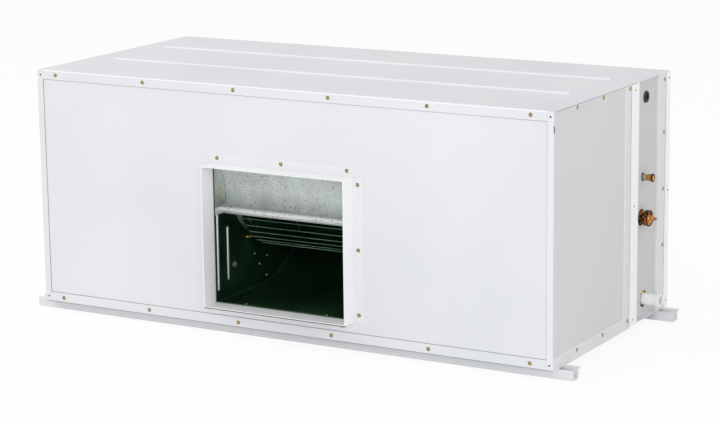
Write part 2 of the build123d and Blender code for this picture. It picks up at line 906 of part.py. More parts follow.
def pan_insulation():
    """The foam bed under the drain pan, turned up round its sides."""
    (low_x, high_x), (low_y, high_y) = pan_limits()
    low = base + sheet
    high = base + pan_floor + pan_height
    outer_x = (low_x - foam_wall, high_x)
    outer_y = (low_y - foam_wall, high_y + foam_wall)
    foam = block(outer_x, outer_y, (low, high))
    return foam - block((low_x, high_x + 1), (low_y, high_y), (base + pan_floor, high + 1))


def drain_stub():
    """The drain spigot: a tube with a thicker ring at its mouth, from the pan out through the panel."""
    end = half_length + drain_end
    ring_radius = drain_radius + drain_ring_rise
    outline = [
        (pan_right_end, drain_bore),
        (pan_right_end, drain_radius),
        (end - drain_ring, drain_radius),
        (end - drain_ring + 1, ring_radius),
        (end, ring_radius),
        (end, drain_bore),
    ]
    return turned(outline, y=pipe_y, z=base + drain_height)


def cable_grommet():
    """A rubber grommet gripping the edge of the panel's cable hole."""
    outer = recess_face
    inner = recess_face - sheet
    outline = [
        (inner - grommet_face, grommet_bore),
        (inner - grommet_face, grommet_radius - 1),
        (inner, grommet_radius),
        (inner, grommet_neck),
        (outer, grommet_neck),
        (outer, grommet_radius),
        (outer + grommet_face, grommet_radius - 1),
        (outer + grommet_face, grommet_bore),
    ]
    return turned(outline, y=pipe_y, z=base + grommet_height)


def box_limits():
    high_x = half_length - box_side_gap
    rear = mid_post_front
    low = base + box_bottom
    return (high_x - box_width, high_x), (rear - box_depth, rear), (low, low + box_height)


def control_box():
    """The electrical box: a tray hung on the mid post, open towards the side panel."""
    x, y, z = box_limits()
    box = block(x, y, z)
    inner = [(low + sheet, high - sheet) for low, high in (y, z)]
    return box - block((x[0] + sheet, x[1] + 1), *inner)


def control_box_cover():
    """A flat cover over the box's mouth, with a turned lip above and below."""
    (_, high_x), y, z = box_limits()
    rear = y[1] - seam
    path = [(high_x - box_lip, z[1]), (high_x, z[1]), (high_x, z[0]), (high_x - box_lip, z[0])]
    cover = folded(path[::-1], -sheet, Plane.XZ, (-rear, -y[0]))
    return cover


def terminal_block():
    """A stepped block with a barrier between each pair of terminals."""
    (low_x, _), (low_y, _), (low_z, _) = box_limits()
    x = low_x + sheet
    height = terminal_height
    step = terminal_step
    points = [(0, 0), (height, 0), (height, step), (height * 0.55, step), (height * 0.55, 2 * step)]
    points += [(height, 2 * step), (height, 3 * step), (0, 3 * step)]
    body = drawn(Polygon(*points, align=None), Plane.XY, (0, terminal_length))
    pitch = terminal_length / terminal_ways
    for index in range(terminal_ways):
        limits_z = (index * pitch + terminal_wall / 2, (index + 1) * pitch - terminal_wall / 2)
        body -= block((height * 0.7, height + 1), (-1, 3 * step + 1), limits_z)
    return Pos(x, low_y + terminal_inset, low_z + box_height / 2) * body


def motor_capacitor():
    """A can capacitor standing on the box's floor."""
    (low_x, _), (low_y, _), (low_z, _) = box_limits()
    place = (low_x + sheet + capacitor_radius, low_y + box_depth / 2, low_z + sheet)
    can = Cylinder(capacitor_radius, capacitor_height, align=(Align.CENTER, Align.CENTER, Align.MIN))
    return Pos(*place) * chamfer(can.edges().sort_by(Axis.Z)[-1], capacitor_radius / 8)


def top_liner():
    """Foam under the top cover, between the casing's walls."""
    half = side_inner - post_leg - liner_gap
    limits_y = (panel_back + post_leg + liner_gap, back - rear_leg)
    return block((-half, half), limits_y, (top - sheet - liner, top - sheet))


def base_liner():
    """Foam on the base pan either side of the blower's feet, in front of the drain pan."""
    inner = plate_outer + foot_width + liner_gap
    outer = side_inner - post_leg - liner_gap
    limits_y = (panel_back + post_leg + liner_gap, front + pan_front - foam_wall - liner_gap)
    side = block((inner, outer), limits_y, (base + sheet, base + sheet + liner))
    return Compound(children=[side, mirrored(side)])


def wall_liners():
    """Foam on the back of the front panel, either side of the blower, and on the left-hand panel."""
    inner = plate_outer + outlet_flange + liner_gap
    outer = side_inner - post_leg - liner_gap
    low = base + sheet + liner
    near = block((inner, outer), (panel_back, panel_back + liner), (low, top - sheet - liner))
    limits_y = (panel_back + post_leg + liner_gap, front + pan_front - foam_wall - liner_gap)
    low = base + base_flange + liner_gap
    end = block((-side_inner, -side_inner + liner), limits_y, (low, top - top_flange - liner_gap))
    return Compound(children=[near, mirrored(near), end])


def main():
    blade_start = disc_sheet / 2
    blade_end = wheel_half_width - rim_width
    parts = {
        "top_cover": top_cover(),
        "base_pan": base_pan(),
        "front_panel": front_panel(),
        "right_side_panel": side_panel(),
        "right_mid_post": mid_post(),
        "pipe_panel": pipe_panel(),
        "right_rear_post": rear_post(),
        "left_rear_post": mirrored(rear_post()),
        "left_side_panel": plain_side_panel(),
        "right_inner_post": inner_post(),
        "left_inner_post": mirrored(inner_post()),
        "rear_frame": rear_frame(),
        "front_mount_rail": mount_rail(rail_setback),
        "rear_mount_rail": mount_rail(casing_depth - rear_rail_setback),
        "blower_scroll": blower_scroll(),
        "blower_cutoff": blower_cutoff(),
        "blower_right_plate": blower_side_plate(),
        "blower_left_plate": mirrored(blower_side_plate()),
        "right_inlet_ring": inlet_ring(),
        "left_inlet_ring": mirrored(inlet_ring()),
        "blower_right_foot": blower_foot(),
        "blower_left_foot": mirrored(blower_foot()),
        "wheel_right_blades": wheel_blades(blade_start, blade_end),
        "wheel_left_blades": wheel_blades(-blade_end, -blade_start),
        "wheel_right_rim": wheel_rim(),
        "wheel_left_rim": mirrored(wheel_rim()),
        "wheel_disc": wheel_disc(),
        "wheel_hub": wheel_hub(),
        "motor_shaft": motor_shaft(),
        "motor_body": motor_body(),
        "motor_bearings": motor_bearings(),
        "motor_mount": motor_mount(),
        "motor_isolators": motor_isolators(),
        "coil_fins": coil_fins(),
        "coil_right_plate": coil_end_plate(coil_right_end - coil_plate, 1),
        "coil_left_plate": coil_end_plate(-coil_left_end + coil_plate, -1),
        "coil_bends": coil_bends(),
        "gas_header": gas_header(),
        "liquid_header": liquid_header(),
        "gas_stub": gas_stub(),
        "liquid_stub": liquid_stub(),
        "drain_pan": drain_pan(),
        "pan_insulation": pan_insulation(),
        "drain_stub": drain_stub(),
        "cable_grommet": cable_grommet(),
        "control_box": control_box(),
        "control_box_cover": control_box_cover(),
        "terminal_block": terminal_block(),
        "motor_capacitor": motor_capacitor(),
        "top_liner": top_liner(),
        "base_liner": base_liner(),
        "wall_liners": wall_liners(),
    }
    parts.update(collar_pieces())
    parts.update(return_flange_pieces())
    for name, part in parts.items():
        export_step(part, f"parts/{name}.step")
        print(name, len(part.solids()), "solids", round(part.volume), "mm3")


main()
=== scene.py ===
# %% [markdown]
# # A ducted air conditioner in white sheet steel
#
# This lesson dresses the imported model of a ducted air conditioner's indoor unit: a long
# white casing on two rails, with a blower outlet in front and pipes at one end.
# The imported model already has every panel, pipe and blade at its real size, so most of
# the work here is finish: powder coat, galvanised sheet, dark enamel, copper and rubber,
# and the small things that a fitter would see, such as screws, seams and pressed ribs.

# %% Load the frame
import json
import math

import bmesh
import bpy
from mathutils import Matrix, Vector


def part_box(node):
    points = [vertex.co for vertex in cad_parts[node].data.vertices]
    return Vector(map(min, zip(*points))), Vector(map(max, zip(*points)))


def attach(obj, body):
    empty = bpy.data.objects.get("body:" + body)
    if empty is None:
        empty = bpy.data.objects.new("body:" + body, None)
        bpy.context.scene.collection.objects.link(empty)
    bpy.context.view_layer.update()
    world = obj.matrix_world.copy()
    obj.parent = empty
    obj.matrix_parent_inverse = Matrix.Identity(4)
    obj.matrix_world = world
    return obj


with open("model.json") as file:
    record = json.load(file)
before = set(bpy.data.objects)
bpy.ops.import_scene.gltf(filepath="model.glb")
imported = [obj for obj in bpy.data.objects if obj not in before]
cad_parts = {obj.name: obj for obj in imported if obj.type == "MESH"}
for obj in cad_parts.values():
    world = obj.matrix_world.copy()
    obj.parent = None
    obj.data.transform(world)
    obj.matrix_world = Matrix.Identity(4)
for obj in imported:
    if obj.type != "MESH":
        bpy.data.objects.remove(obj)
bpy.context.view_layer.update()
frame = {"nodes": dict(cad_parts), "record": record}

nodes = frame["nodes"]

# %% [markdown]
# ## Places to work from
#
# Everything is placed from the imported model's own boxes, so a screw or a rib stays where
# its panel is. The casing's outer faces come from the top cover, which spans them all.

# %% Measure the casing
MM = 0.001
cover_low, cover_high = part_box("top_cover")
pan_low, pan_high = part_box("base_pan")
panel_low, panel_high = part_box("front_panel")
CASING_LEFT, CASING_RIGHT = cover_low[0], cover_high[0]
CASING_FRONT, CASING_BACK = cover_low[1], cover_high[1]
CASING_BASE = pan_low[2]
BEAD_RISE = 2 * MM
CASING_TOP = cover_high[2] - BEAD_RISE
PANEL_FACE = panel_low[1]
print("casing:", round((CASING_RIGHT - CASING_LEFT) / MM), "mm long,",
      round((CASING_BACK - CASING_FRONT) / MM), "mm deep,",
      round((CASING_TOP - CASING_BASE) / MM), "mm high")

# %% [markdown]
# ## The camera
#
# The camera comes first, because every later choice is judged through it. Its direction
# is given as an azimuth and an elevation about a target inside the casing, and its lens
# is long, as in a catalogue photograph, so the casing's edges converge only a little.

# %% Make the camera
CAMERA_AZIMUTH = math.radians(30.0)
CAMERA_ELEVATION = math.radians(12.17)
CAMERA_ROLL = math.radians(-0.69)
CAMERA_DISTANCE = 4.926
CAMERA_TARGET = Vector((0.0236, 0.0, 0.2234))
CAMERA_LENS = 117.25
SENSOR_WIDTH = 36.0


def make_camera():
    """A camera that looks at the target from the given azimuth and elevation."""
    flat = math.cos(CAMERA_ELEVATION)
    away = Vector((math.sin(CAMERA_AZIMUTH) * flat, -math.cos(CAMERA_AZIMUTH) * flat, math.sin(CAMERA_ELEVATION)))
    camera = bpy.data.objects.new("camera", bpy.data.cameras.new("camera"))
    bpy.context.scene.collection.objects.link(camera)
    camera.location = CAMERA_TARGET + away * CAMERA_DISTANCE
    aim = (-away).to_track_quat("-Z", "Y").to_matrix()
    camera.rotation_euler = (aim @ Matrix.Rotation(CAMERA_ROLL, 3, "Z")).to_euler()
    camera.data.lens = CAMERA_LENS
    camera.data.sensor_width = SENSOR_WIDTH
    bpy.context.scene.camera = camera
    return camera


camera = make_camera()
print("camera:", [round(v, 3) for v in camera.location], "lens:", round(camera.data.lens, 1))

# %% [markdown]
# ## Shader maths as plain expressions
#
# A material is a graph of nodes, but a graph is hard to read in code. This small class
# wraps a socket, so that `1 - mask * 0.4` adds the Math nodes by itself. Colours and
# vectors don't go through Math nodes, which would turn them grey: they go through Mix and
# Vector Math, by the methods below.

# %% Wrap a socket
class Value:
    """A node's output, with arithmetic that adds Math nodes."""

    def __init__(self, graph, socket):
        self.graph = graph
        self.socket = socket

    def _math(self, operation, first, second):
        made = self.graph.add("ShaderNodeMath", {"operation": operation}, {0: first, 1: second})
        return made

    def __add__(self, other):
        return self._math("ADD", self, other)

    def __radd__(self, other):
        return self._math("ADD", other, self)

    def __sub__(self, other):
        return self._math("SUBTRACT", self, other)

    def __rsub__(self, other):
        return self._math("SUBTRACT", other, self)

    def __mul__(self, other):
        return self._math("MULTIPLY", self, other)

    def __rmul__(self, other):
        return self._math("MULTIPLY", other, self)


class Graph:
    """A material's node graph, with one method that adds any node."""

    def __init__(self, name):
        self.material = bpy.data.materials.new(name)
        self.material.use_nodes = True
        self.tree = self.material.node_tree
        self.tree.nodes.clear()
        self.output = self.tree.nodes.new("ShaderNodeOutputMaterial")

    def set(self, socket, value):
        if isinstance(value, Value):
            self.tree.links.new(value.socket, socket)
        elif isinstance(value, (tuple, list)) and len(value) == 3 and socket.type == "RGBA":
            socket.default_value = (*value, 1.0)
        else:
            socket.default_value = value

    def add(self, kind, settings=None, inputs=None, output=0):
        """Adds a node: its settings first, then its sockets' values or links. Returns one output."""
        node = self.tree.nodes.new(kind)
        for key, value in (settings or {}).items():
            if key == "stops":
                self.set_stops(node.color_ramp, value)
            else:
                setattr(node, key, value)
        for key, value in (inputs or {}).items():
            self.set(node.inputs[key], value)
        return Value(self, node.outputs[output])

    def set_stops(self, ramp, stops):
        while len(ramp.elements) < len(stops):
            ramp.elements.new(0.5)
        for element, (place, grey) in zip(ramp.elements, stops):
            element.position = place
            element.color = (grey, grey, grey, 1.0)

    def place(self, scale=(1.0, 1.0, 1.0)):
        """The point's place on the object in metres, stretched along each axis."""
        coordinates = self.add("ShaderNodeTexCoord", output="Object")
        return self.add("ShaderNodeVectorMath", {"operation": "MULTIPLY"}, {0: coordinates, 1: scale})

    def noise(self, scale, detail=3.0, rough=0.55, stretch=(1.0, 1.0, 1.0)):
        inputs = {"Vector": self.place(stretch), "Scale": scale, "Detail": detail, "Roughness": rough}
        return self.add("ShaderNodeTexNoise", {}, inputs, output="Fac")

    def step(self, value, low, high):
        """0 below low, 1 above high, and a straight climb between."""
        inputs = {"Value": value, "From Min": low, "From Max": high}
        return self.add("ShaderNodeMapRange", {"clamp": True}, inputs)

    def blend(self, factor, first, second):
        """A colour between two colours."""
        settings = {"data_type": "RGBA"}
        return self.add("ShaderNodeMix", settings, {0: factor, 6: first, 7: second}, output=2)

    def bump(self, height, distance, strength=1.0):
        inputs = {"Height": height, "Distance": distance, "Strength": strength}
        return self.add("ShaderNodeBump", {}, inputs, output="Normal")

    def finish(self, **sockets):
        """Ends the graph in one Principled shader. Socket names use underscores for spaces."""
        shader = self.tree.nodes.new("ShaderNodeBsdfPrincipled")
        for key, value in sockets.items():
            self.set(shader.inputs[key.replace("_", " ")], value)
        self.tree.links.new(shader.outputs[0], self.output.inputs["Surface"])
        return self.material


def srgb(red, green, blue):
    """A colour from 0 to 255 as seen, turned into the linear colour that a shader takes."""
    def linear(level):
        level /= 255.0
        return level / 12.92 if level <= 0.04045 else ((level + 0.055) / 1.055) ** 2.4
    return linear(red), linear(green), linear(blue)


print("a mid grey of 128 is", round(srgb(128, 128, 128)[0], 3), "in linear light")

# %% [markdown]
# ## White powder coat
#
# Powder coat on sheet steel is nearly white, a little cool, and has a fine orange peel
# that breaks up reflections. It could be one flat colour, but a large flat panel then
# looks like paper. Two slow noises give the colour and the gloss a slight drift, as a
# real panel has from the spray gun, and a fine one gives the peel.

# %% Powder coat
WHITE = srgb(230, 231, 234)
WHITE_SHADE = srgb(222, 224, 227)
PEEL_SCALE = 420.0
PEEL_DEPTH = 0.00004


def powder_coat(name, bright, shade):
    graph = Graph(name)
    drift = graph.step(graph.noise(3.0, 2.0), 0.3, 0.7)
    grime = graph.step(graph.noise(26.0, 5.0), 0.62, 0.85)
    colour = graph.blend(drift, bright, shade)
    colour = graph.blend(grime * 0.12, colour, srgb(196, 197, 196))
    rough = 0.5 + drift * 0.08 + grime * 0.1
    peel = graph.bump(graph.noise(PEEL_SCALE, 2.0), PEEL_DEPTH, 0.5)
    return graph.finish(Base_Color=colour, Roughness=rough, Normal=peel)


def coat_in_steps(name, axis, inner, outer, proud, first, second):
    """Powder coat with painted light and shade: its tone steps at two places along an axis, where a folded panel steps.
    """
    graph = Graph(name)
    drift = graph.step(graph.noise(3.0, 2.0), 0.3, 0.7)
    along = graph.add("ShaderNodeSeparateXYZ", {}, {"Vector": graph.place()}, output=axis)
    colour = graph.blend(graph.step(along, *first), inner, outer)
    colour = graph.blend(graph.step(along, *second), colour, proud)
    colour = graph.blend(drift * 0.15, colour, srgb(196, 197, 198))
    peel = graph.bump(graph.noise(PEEL_SCALE, 2.0), PEEL_DEPTH, 0.5)
    return graph.finish(Base_Color=colour, Roughness=0.5 + drift * 0.08, Normal=peel)


POWDER_COAT = powder_coat("powder_coat", WHITE, WHITE_SHADE)
# A brighter copy of the powder coat: painted light on the posts, the bead crests and the front fold.
LIT_COAT = powder_coat("painted_light_coat", srgb(247, 247, 248), srgb(243, 243, 245))
# These greys are painted shade on the one white coat: the side panel's field and the pipe panel's recessed field, with
# the margins a paler grey, painted light beside the fields.
SIDE_GREY = srgb(211, 212, 214)
PIPE_PANEL_GREY = srgb(202, 202, 203)
MARGIN_GREY = srgb(222, 223, 225)
SIDE_STEPS = (0.5988, 0.5996), (0.6006, 0.6020)
PIPE_STEPS = (0.5935, 0.5985), (0.6040, 0.6050)
COLLAR_STEPS = (-0.2745, -0.2735), (0.9, 1.0)
# On the side panel, the post's return is painted light, the field painted shade, and the proud margins paler, painted
# light.
SIDE_LIT_AND_SHADED_COAT = coat_in_steps("side_painted_light_and_shade_coat", "X", srgb(232, 233, 236), SIDE_GREY, MARGIN_GREY, *SIDE_STEPS)
COLLAR_FOOT = srgb(233, 234, 237)
# The collar's duct walls are painted light, brightest on the left wall, and its feet keep a plain white.
COLLAR_LIT_COAT = coat_in_steps("collar_painted_light_coat", "Y", srgb(245, 245, 246), COLLAR_FOOT, WHITE, *COLLAR_STEPS)
LEFT_COLLAR_LIT_COAT = coat_in_steps("left_collar_painted_light_coat", "Y", srgb(254, 254, 255), COLLAR_FOOT, WHITE, *COLLAR_STEPS)
# On the pipe panel, the recessed field is painted shade and the margins are paler.
PIPE_PANEL_SHADED_COAT = coat_in_steps("pipe_panel_painted_shade_coat", "X", PIPE_PANEL_GREY, MARGIN_GREY, MARGIN_GREY, *PIPE_STEPS)
print("made", POWDER_COAT.name, LIT_COAT.name, SIDE_LIT_AND_SHADED_COAT.name, PIPE_PANEL_SHADED_COAT.name)

# %% [markdown]
# ## Galvanised sheet
#
# Hot-dip zinc freezes in flat crystals, the spangle. Each crystal has its own grey and its
# own gloss, so the pattern is made from Voronoi cells: the cell's colour sets both. A
# second, larger set of cells and a noise keep the pattern from looking like tiles.

# %% Galvanised sheet
SPANGLE_SCALE = 150.0


def galvanised(name, dark, light, metal=0.85):
    graph = Graph(name)
    wobble = graph.noise(60.0, 3.0)
    place = graph.place()
    moved = graph.add("ShaderNodeVectorMath", {"operation": "ADD"}, {0: place, 1: wobble * 0.012})
    cells = graph.add("ShaderNodeTexVoronoi", {}, {"Vector": moved, "Scale": SPANGLE_SCALE}, output="Color")
    tone = graph.add("ShaderNodeSeparateColor", {}, {"Color": cells}, output="Red")
    small = graph.add("ShaderNodeTexVoronoi", {}, {"Vector": moved, "Scale": SPANGLE_SCALE * 2.7}, output="Color")
    fine = graph.add("ShaderNodeSeparateColor", {}, {"Color": small}, output="Green")
    mix = tone * 0.6 + fine * 0.4
    colour = graph.blend(mix, dark, light)
    stain = graph.step(graph.noise(14.0, 4.0), 0.55, 0.8)
    colour = graph.blend(stain * 0.3, colour, srgb(150, 160, 148))
    rough = 0.3 + mix * 0.22 + stain * 0.1
    relief = graph.bump(mix, 0.00005, 0.4)
    return graph.finish(Base_Color=colour, Metallic=metal, Roughness=rough, Normal=relief)


GALVANISED = galvanised("galvanised_sheet", srgb(150, 158, 153), srgb(206, 212, 206))
CUTOFF_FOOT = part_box("blower_cutoff")[0][2]


def streaked_zinc(name, dark, light, lip_shade=0.0):
    """Zinc that air has blown over: fine grain and dark specks, with painted shade towards the lip, where the curved
    sheet reflects the dark inside.
    """
    graph = Graph(name)
    grain = graph.noise(520.0, 4.0, 0.7)
    streak = graph.noise(46.0, 4.0, stretch=(1.0, 0.16, 0.16))
    cloud = graph.noise(9.0, 3.0)
    mix = grain * 0.62 + streak * 0.1 + cloud * 0.28
    colour = graph.blend(graph.step(mix, 0.38, 0.62), dark, light)
    colour = graph.blend(graph.step(cloud, 0.42, 0.62) * 0.3, colour, srgb(150, 184, 158))
    specks = graph.step(graph.noise(230.0, 3.0), 0.6, 0.7)
    colour = graph.blend(specks * 0.75, colour, srgb(70, 88, 74))
    height = graph.add("ShaderNodeSeparateXYZ", {}, {"Vector": graph.place()}, output="Z")
    # Painted shade: darker towards the lip, a painted reflection of the blower's dark inside in the curved sheet.
    near_lip = 1.0 - graph.step(height + cloud * 0.02, CUTOFF_FOOT + 18 * MM, CUTOFF_FOOT + 62 * MM)
    colour = graph.blend(near_lip * lip_shade, colour, srgb(84, 92, 88))
    rough = 0.34 + grain * 0.2
    return graph.finish(Base_Color=colour, Metallic=0.6, Roughness=rough, Normal=graph.bump(grain, 0.00006, 0.6))


CUTOFF_ZINC = streaked_zinc("streaked_zinc", srgb(150, 158, 153), srgb(234, 236, 236), 0.6)
# A lighter copy of the zinc, for painted highlight on the rolled lip, the band beside it, the plate's ribs and the
# rivets.
LIT_ZINC = streaked_zinc("painted_highlight_zinc", srgb(214, 219, 218), srgb(246, 248, 247))
print("made", GALVANISED.name, CUTOFF_ZINC.name, LIT_ZINC.name)

# %% [markdown]
# ## Dark enamel inside the blower
#
# The scroll and the wheel are dipped in a dark green-black enamel. Its darkness is partly
# the enamel's colour and partly painted shade for the unlit inside of the blower: it is
# darker than any shadow on the casing, with a soft gloss that picks out the blades' edges,
# and it has some pale dust where the air slows down.

# %% Enamel
ENAMEL = srgb(22, 58, 34)
ENAMEL_DEEP = srgb(12, 34, 20)
DUST = srgb(74, 92, 82)


def enamel(name, deep, bright, dust):
    graph = Graph(name)
    cloud = graph.step(graph.noise(11.0, 4.0), 0.35, 0.7)
    specks = graph.step(graph.noise(230.0, 2.0), 0.68, 0.78)
    colour = graph.blend(cloud, deep, bright)
    colour = graph.blend(specks * dust, colour, DUST)
    rough = 0.34 + cloud * 0.14 + specks * 0.3
    relief = graph.bump(graph.noise(300.0, 2.0), 0.00004, 0.5)
    return graph.finish(Base_Color=colour, Roughness=rough, Normal=relief)


# Painted shade in part: these deep greens stand in for the shade inside the blower.
SCROLL_ENAMEL = enamel("scroll_enamel", ENAMEL_DEEP, ENAMEL, 0.25)
WHEEL_ENAMEL = enamel("wheel_enamel", srgb(10, 30, 18), srgb(24, 54, 34), 0.3)
# A paler enamel for the lines along the scroll's corner and the floor's front edge.
PALE_ENAMEL = enamel("pale_enamel", srgb(34, 70, 44), srgb(62, 100, 70), 0.6)
# Pale enamel for the blade tips' lines, a painted highlight.
BLADE_HIGHLIGHT = enamel("blade_edge_highlight", srgb(96, 134, 106), srgb(150, 182, 158), 0.5)
print("made", SCROLL_ENAMEL.name, WHEEL_ENAMEL.name, PALE_ENAMEL.name)

# %% [markdown]
# ## Pipes: copper and brass
#
# Brazed copper is never evenly bright. The flame leaves brown and straw-coloured bands
# near each joint, and handling leaves dull prints. A stretched noise gives the drawn
# tube's streaks, and a broad one the heat stain.

# %% Copper and brass
def tube_metal(name, clean, stained, stain_level, rough):
    graph = Graph(name)
    heat = graph.step(graph.noise(38.0, 4.0), stain_level, stain_level + 0.2)
    streak = graph.noise(90.0, 3.0, stretch=(0.2, 1.0, 1.0))
    colour = graph.blend(heat, clean, stained)
    colour = graph.blend(streak * 0.3, colour, srgb(92, 60, 38))
    relief = graph.bump(streak, 0.00006, 0.5)
    return graph.finish(Base_Color=colour, Metallic=0.9, Roughness=rough + heat * 0.25, Normal=relief)


def flame_marked(name):
    """Copper just brazed: dark scale, broken by straw and orange marks that run round the tube."""
    graph = Graph(name)
    marks = graph.step(graph.noise(105.0, 4.0, 0.65, stretch=(1.0, 0.55, 0.55)), 0.47, 0.57)
    scale = graph.step(graph.noise(60.0, 4.0), 0.45, 0.6)
    straw = graph.step(graph.noise(190.0, 3.0), 0.56, 0.64)
    colour = graph.blend(scale, srgb(70, 44, 24), srgb(30, 20, 14))
    colour = graph.blend(marks * 0.8, colour, srgb(206, 120, 52))
    colour = graph.blend(straw * 0.75, colour, srgb(240, 204, 132))
    relief = graph.bump(marks, 0.00008, 0.5)
    return graph.finish(Base_Color=colour, Metallic=0.8, Roughness=0.5 - marks * 0.18, Normal=relief)


COPPER = tube_metal("copper_tube", srgb(196, 130, 84), srgb(116, 74, 42), 0.42, 0.28)
BRASS = tube_metal("brass_fitting", srgb(214, 160, 84), srgb(120, 74, 34), 0.46, 0.26)
STUB_COPPER = flame_marked("flame_marked_copper")
DARK_COPPER = tube_metal("burnt_copper", srgb(74, 50, 32), srgb(28, 20, 16), 0.4, 0.42)
print("made", COPPER.name, BRASS.name, STUB_COPPER.name, DARK_COPPER.name)

# %% [markdown]
# ## Screws, shafts and other small metal
#
# The casing's screws have a yellow chromate finish: a thin gold skin with a hint of green
# and pink. The shaft and the bearings are plain ground steel.

# %% Small metal
def plated(name, light, dark, rough, metal=0.95):
    graph = Graph(name)
    tint = graph.step(graph.noise(320.0, 3.0), 0.35, 0.7)
    colour = graph.blend(tint, dark, light)
    return graph.finish(Base_Color=colour, Metallic=metal, Roughness=rough + tint * 0.12)


GOLD_PLATE = plated("yellow_chromate", srgb(248, 216, 128), srgb(190, 150, 66), 0.26)
# A brighter, less metallic copy of the gold: painted highlight on the clip in the blower's dark.
LIT_GOLD = plated("painted_highlight_chromate", srgb(250, 226, 150), srgb(226, 190, 96), 0.3, 0.3)
GROUND_STEEL = plated("ground_steel", srgb(190, 190, 188), srgb(140, 140, 140), 0.24)
CAN_METAL = plated("drawn_can", srgb(204, 205, 207), srgb(170, 171, 174), 0.34)
print("made", GOLD_PLATE.name, GROUND_STEEL.name, CAN_METAL.name)

# %% [markdown]
# ## Plastic, rubber, foam and fin stock
#
# These need little colour but the right grain: foam has open pores, rubber is dull with a
# bloom, moulded plastic is almost smooth, and a fin pack is hundreds of thin edges. The
# fins are far finer than the imported model's grooves, so their edges are a striped bump
# across the pack, 1.8 mm apart, with the colour darker in the gaps as painted shade.

# %% Soft and fine materials
def moulded(name, colour, shade, rough, grain_scale, grain_depth):
    graph = Graph(name)
    drift = graph.step(graph.noise(40.0, 3.0), 0.35, 0.7)
    grain = graph.noise(grain_scale, 4.0)
    mixed = graph.blend(drift, colour, shade)
    relief = graph.bump(grain, grain_depth, 0.7)
    return graph.finish(Base_Color=mixed, Roughness=rough + drift * 0.1, Normal=relief)


FIN_PITCH = 1.8 * MM


def fin_stock(name):
    graph = Graph(name)
    place = graph.place((1.0 / FIN_PITCH, 0.0, 0.0))
    along = graph.add("ShaderNodeSeparateXYZ", {}, {"Vector": place}, output="X")
    phase = graph.add("ShaderNodeMath", {"operation": "FRACT"}, {0: along})
    edge = graph.step(phase, 0.25, 0.4) - graph.step(phase, 0.6, 0.75)
    bent = graph.step(graph.noise(22.0, 4.0, stretch=(1.0, 1.0, 0.4)), 0.56, 0.75)
    # Painted shade: the colour is darker in the gaps between the fins.
    colour = graph.blend(edge, srgb(104, 109, 112), srgb(208, 212, 214))
    colour = graph.blend(bent * 0.35, colour, srgb(150, 152, 150))
    relief = graph.bump(edge, 0.0004, 0.8)
    return graph.finish(Base_Color=colour, Metallic=edge * 0.8, Roughness=0.36 + bent * 0.2, Normal=relief)


WHITE_PLASTIC = moulded("white_plastic", srgb(243, 244, 243), srgb(234, 235, 233), 0.38, 300.0, 0.00004)
BLACK_RUBBER = moulded("black_rubber", srgb(24, 38, 32), srgb(36, 50, 44), 0.55, 500.0, 0.00006)
MOTOR_PAINT = moulded("motor_paint", srgb(30, 31, 34), srgb(42, 43, 46), 0.42, 340.0, 0.00005)
SEAM_GREY = moulded("seam_shadow", srgb(116, 122, 118), srgb(92, 98, 94), 0.6, 300.0, 0.00005)
# Black for painted shadow: hole backs, rings under screws, and strips beside the ribs, under the collar and behind the
# drain.
SHADOW_BLACK = moulded("painted_shadow_black", srgb(14, 16, 14), srgb(22, 24, 22), 0.8, 300.0, 0.00005)
PAN_FOAM = moulded("yellow_foam", srgb(226, 190, 74), srgb(196, 156, 48), 0.85, 520.0, 0.0003)
LINER_FOAM = moulded("dark_foam", srgb(44, 45, 48), srgb(58, 59, 62), 0.9, 460.0, 0.0003)
FIN_STOCK = fin_stock("fin_stock")
print("made", WHITE_PLASTIC.name, BLACK_RUBBER.name, PAN_FOAM.name, LINER_FOAM.name, FIN_STOCK.name)

# %% [markdown]
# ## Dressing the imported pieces
#
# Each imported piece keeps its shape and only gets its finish. The record gives every piece
# a slot, so one table from slot to material covers them all, with two exceptions.

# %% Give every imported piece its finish
FINISHES = {
    "painted_steel": POWDER_COAT,
    "galvanised_steel": GALVANISED,
    "scroll_enamel": SCROLL_ENAMEL,
    "wheel_enamel": WHEEL_ENAMEL,
    "shaft_steel": GROUND_STEEL,
    "motor_paint": MOTOR_PAINT,
    "aluminium_fins": FIN_STOCK,
    "copper": COPPER,
    "brass": BRASS,
    "white_plastic": WHITE_PLASTIC,
    "black_rubber": BLACK_RUBBER,
    "capacitor_can": CAN_METAL,
    "pan_foam": PAN_FOAM,
    "liner_foam": LINER_FOAM,
}


SPECIAL = {
    "gas_stub": STUB_COPPER,
    "right_side_panel": SIDE_LIT_AND_SHADED_COAT,
    "right_mid_post": LIT_COAT,
    "right_rear_post": LIT_COAT,
    "pipe_panel": PIPE_PANEL_SHADED_COAT,
    "blower_cutoff": CUTOFF_ZINC,
    "outlet_collar_top": COLLAR_LIT_COAT,
    "outlet_collar_bottom": COLLAR_LIT_COAT,
    "outlet_collar_right": COLLAR_LIT_COAT,
    "outlet_collar_left": LEFT_COLLAR_LIT_COAT,
}


def dress_nodes():
    """Puts each node's finish in its material slots."""
    for part in frame["record"]["subparts"]:
        shape = nodes[part["node"]]
        finish = FINISHES[part["material_slot"]]
        finish = SPECIAL.get(part["node"], finish)
        shape.data.materials.clear()
        shape.data.materials.append(finish)


dress_nodes()
print("dressed", len(nodes), "pieces in", len(FINISHES), "finishes")

# %% [markdown]
# ## Meshes from plain shapes
#
# Small pieces are built as meshes in code. A turned piece is a profile spun about an axis,
# a drawn piece is an outline pushed along a direction, and a stamped piece is a copy of a
# finished template at each of its places. Every piece ends in one helper, which gives it
# its finish and lets it ride on a body.

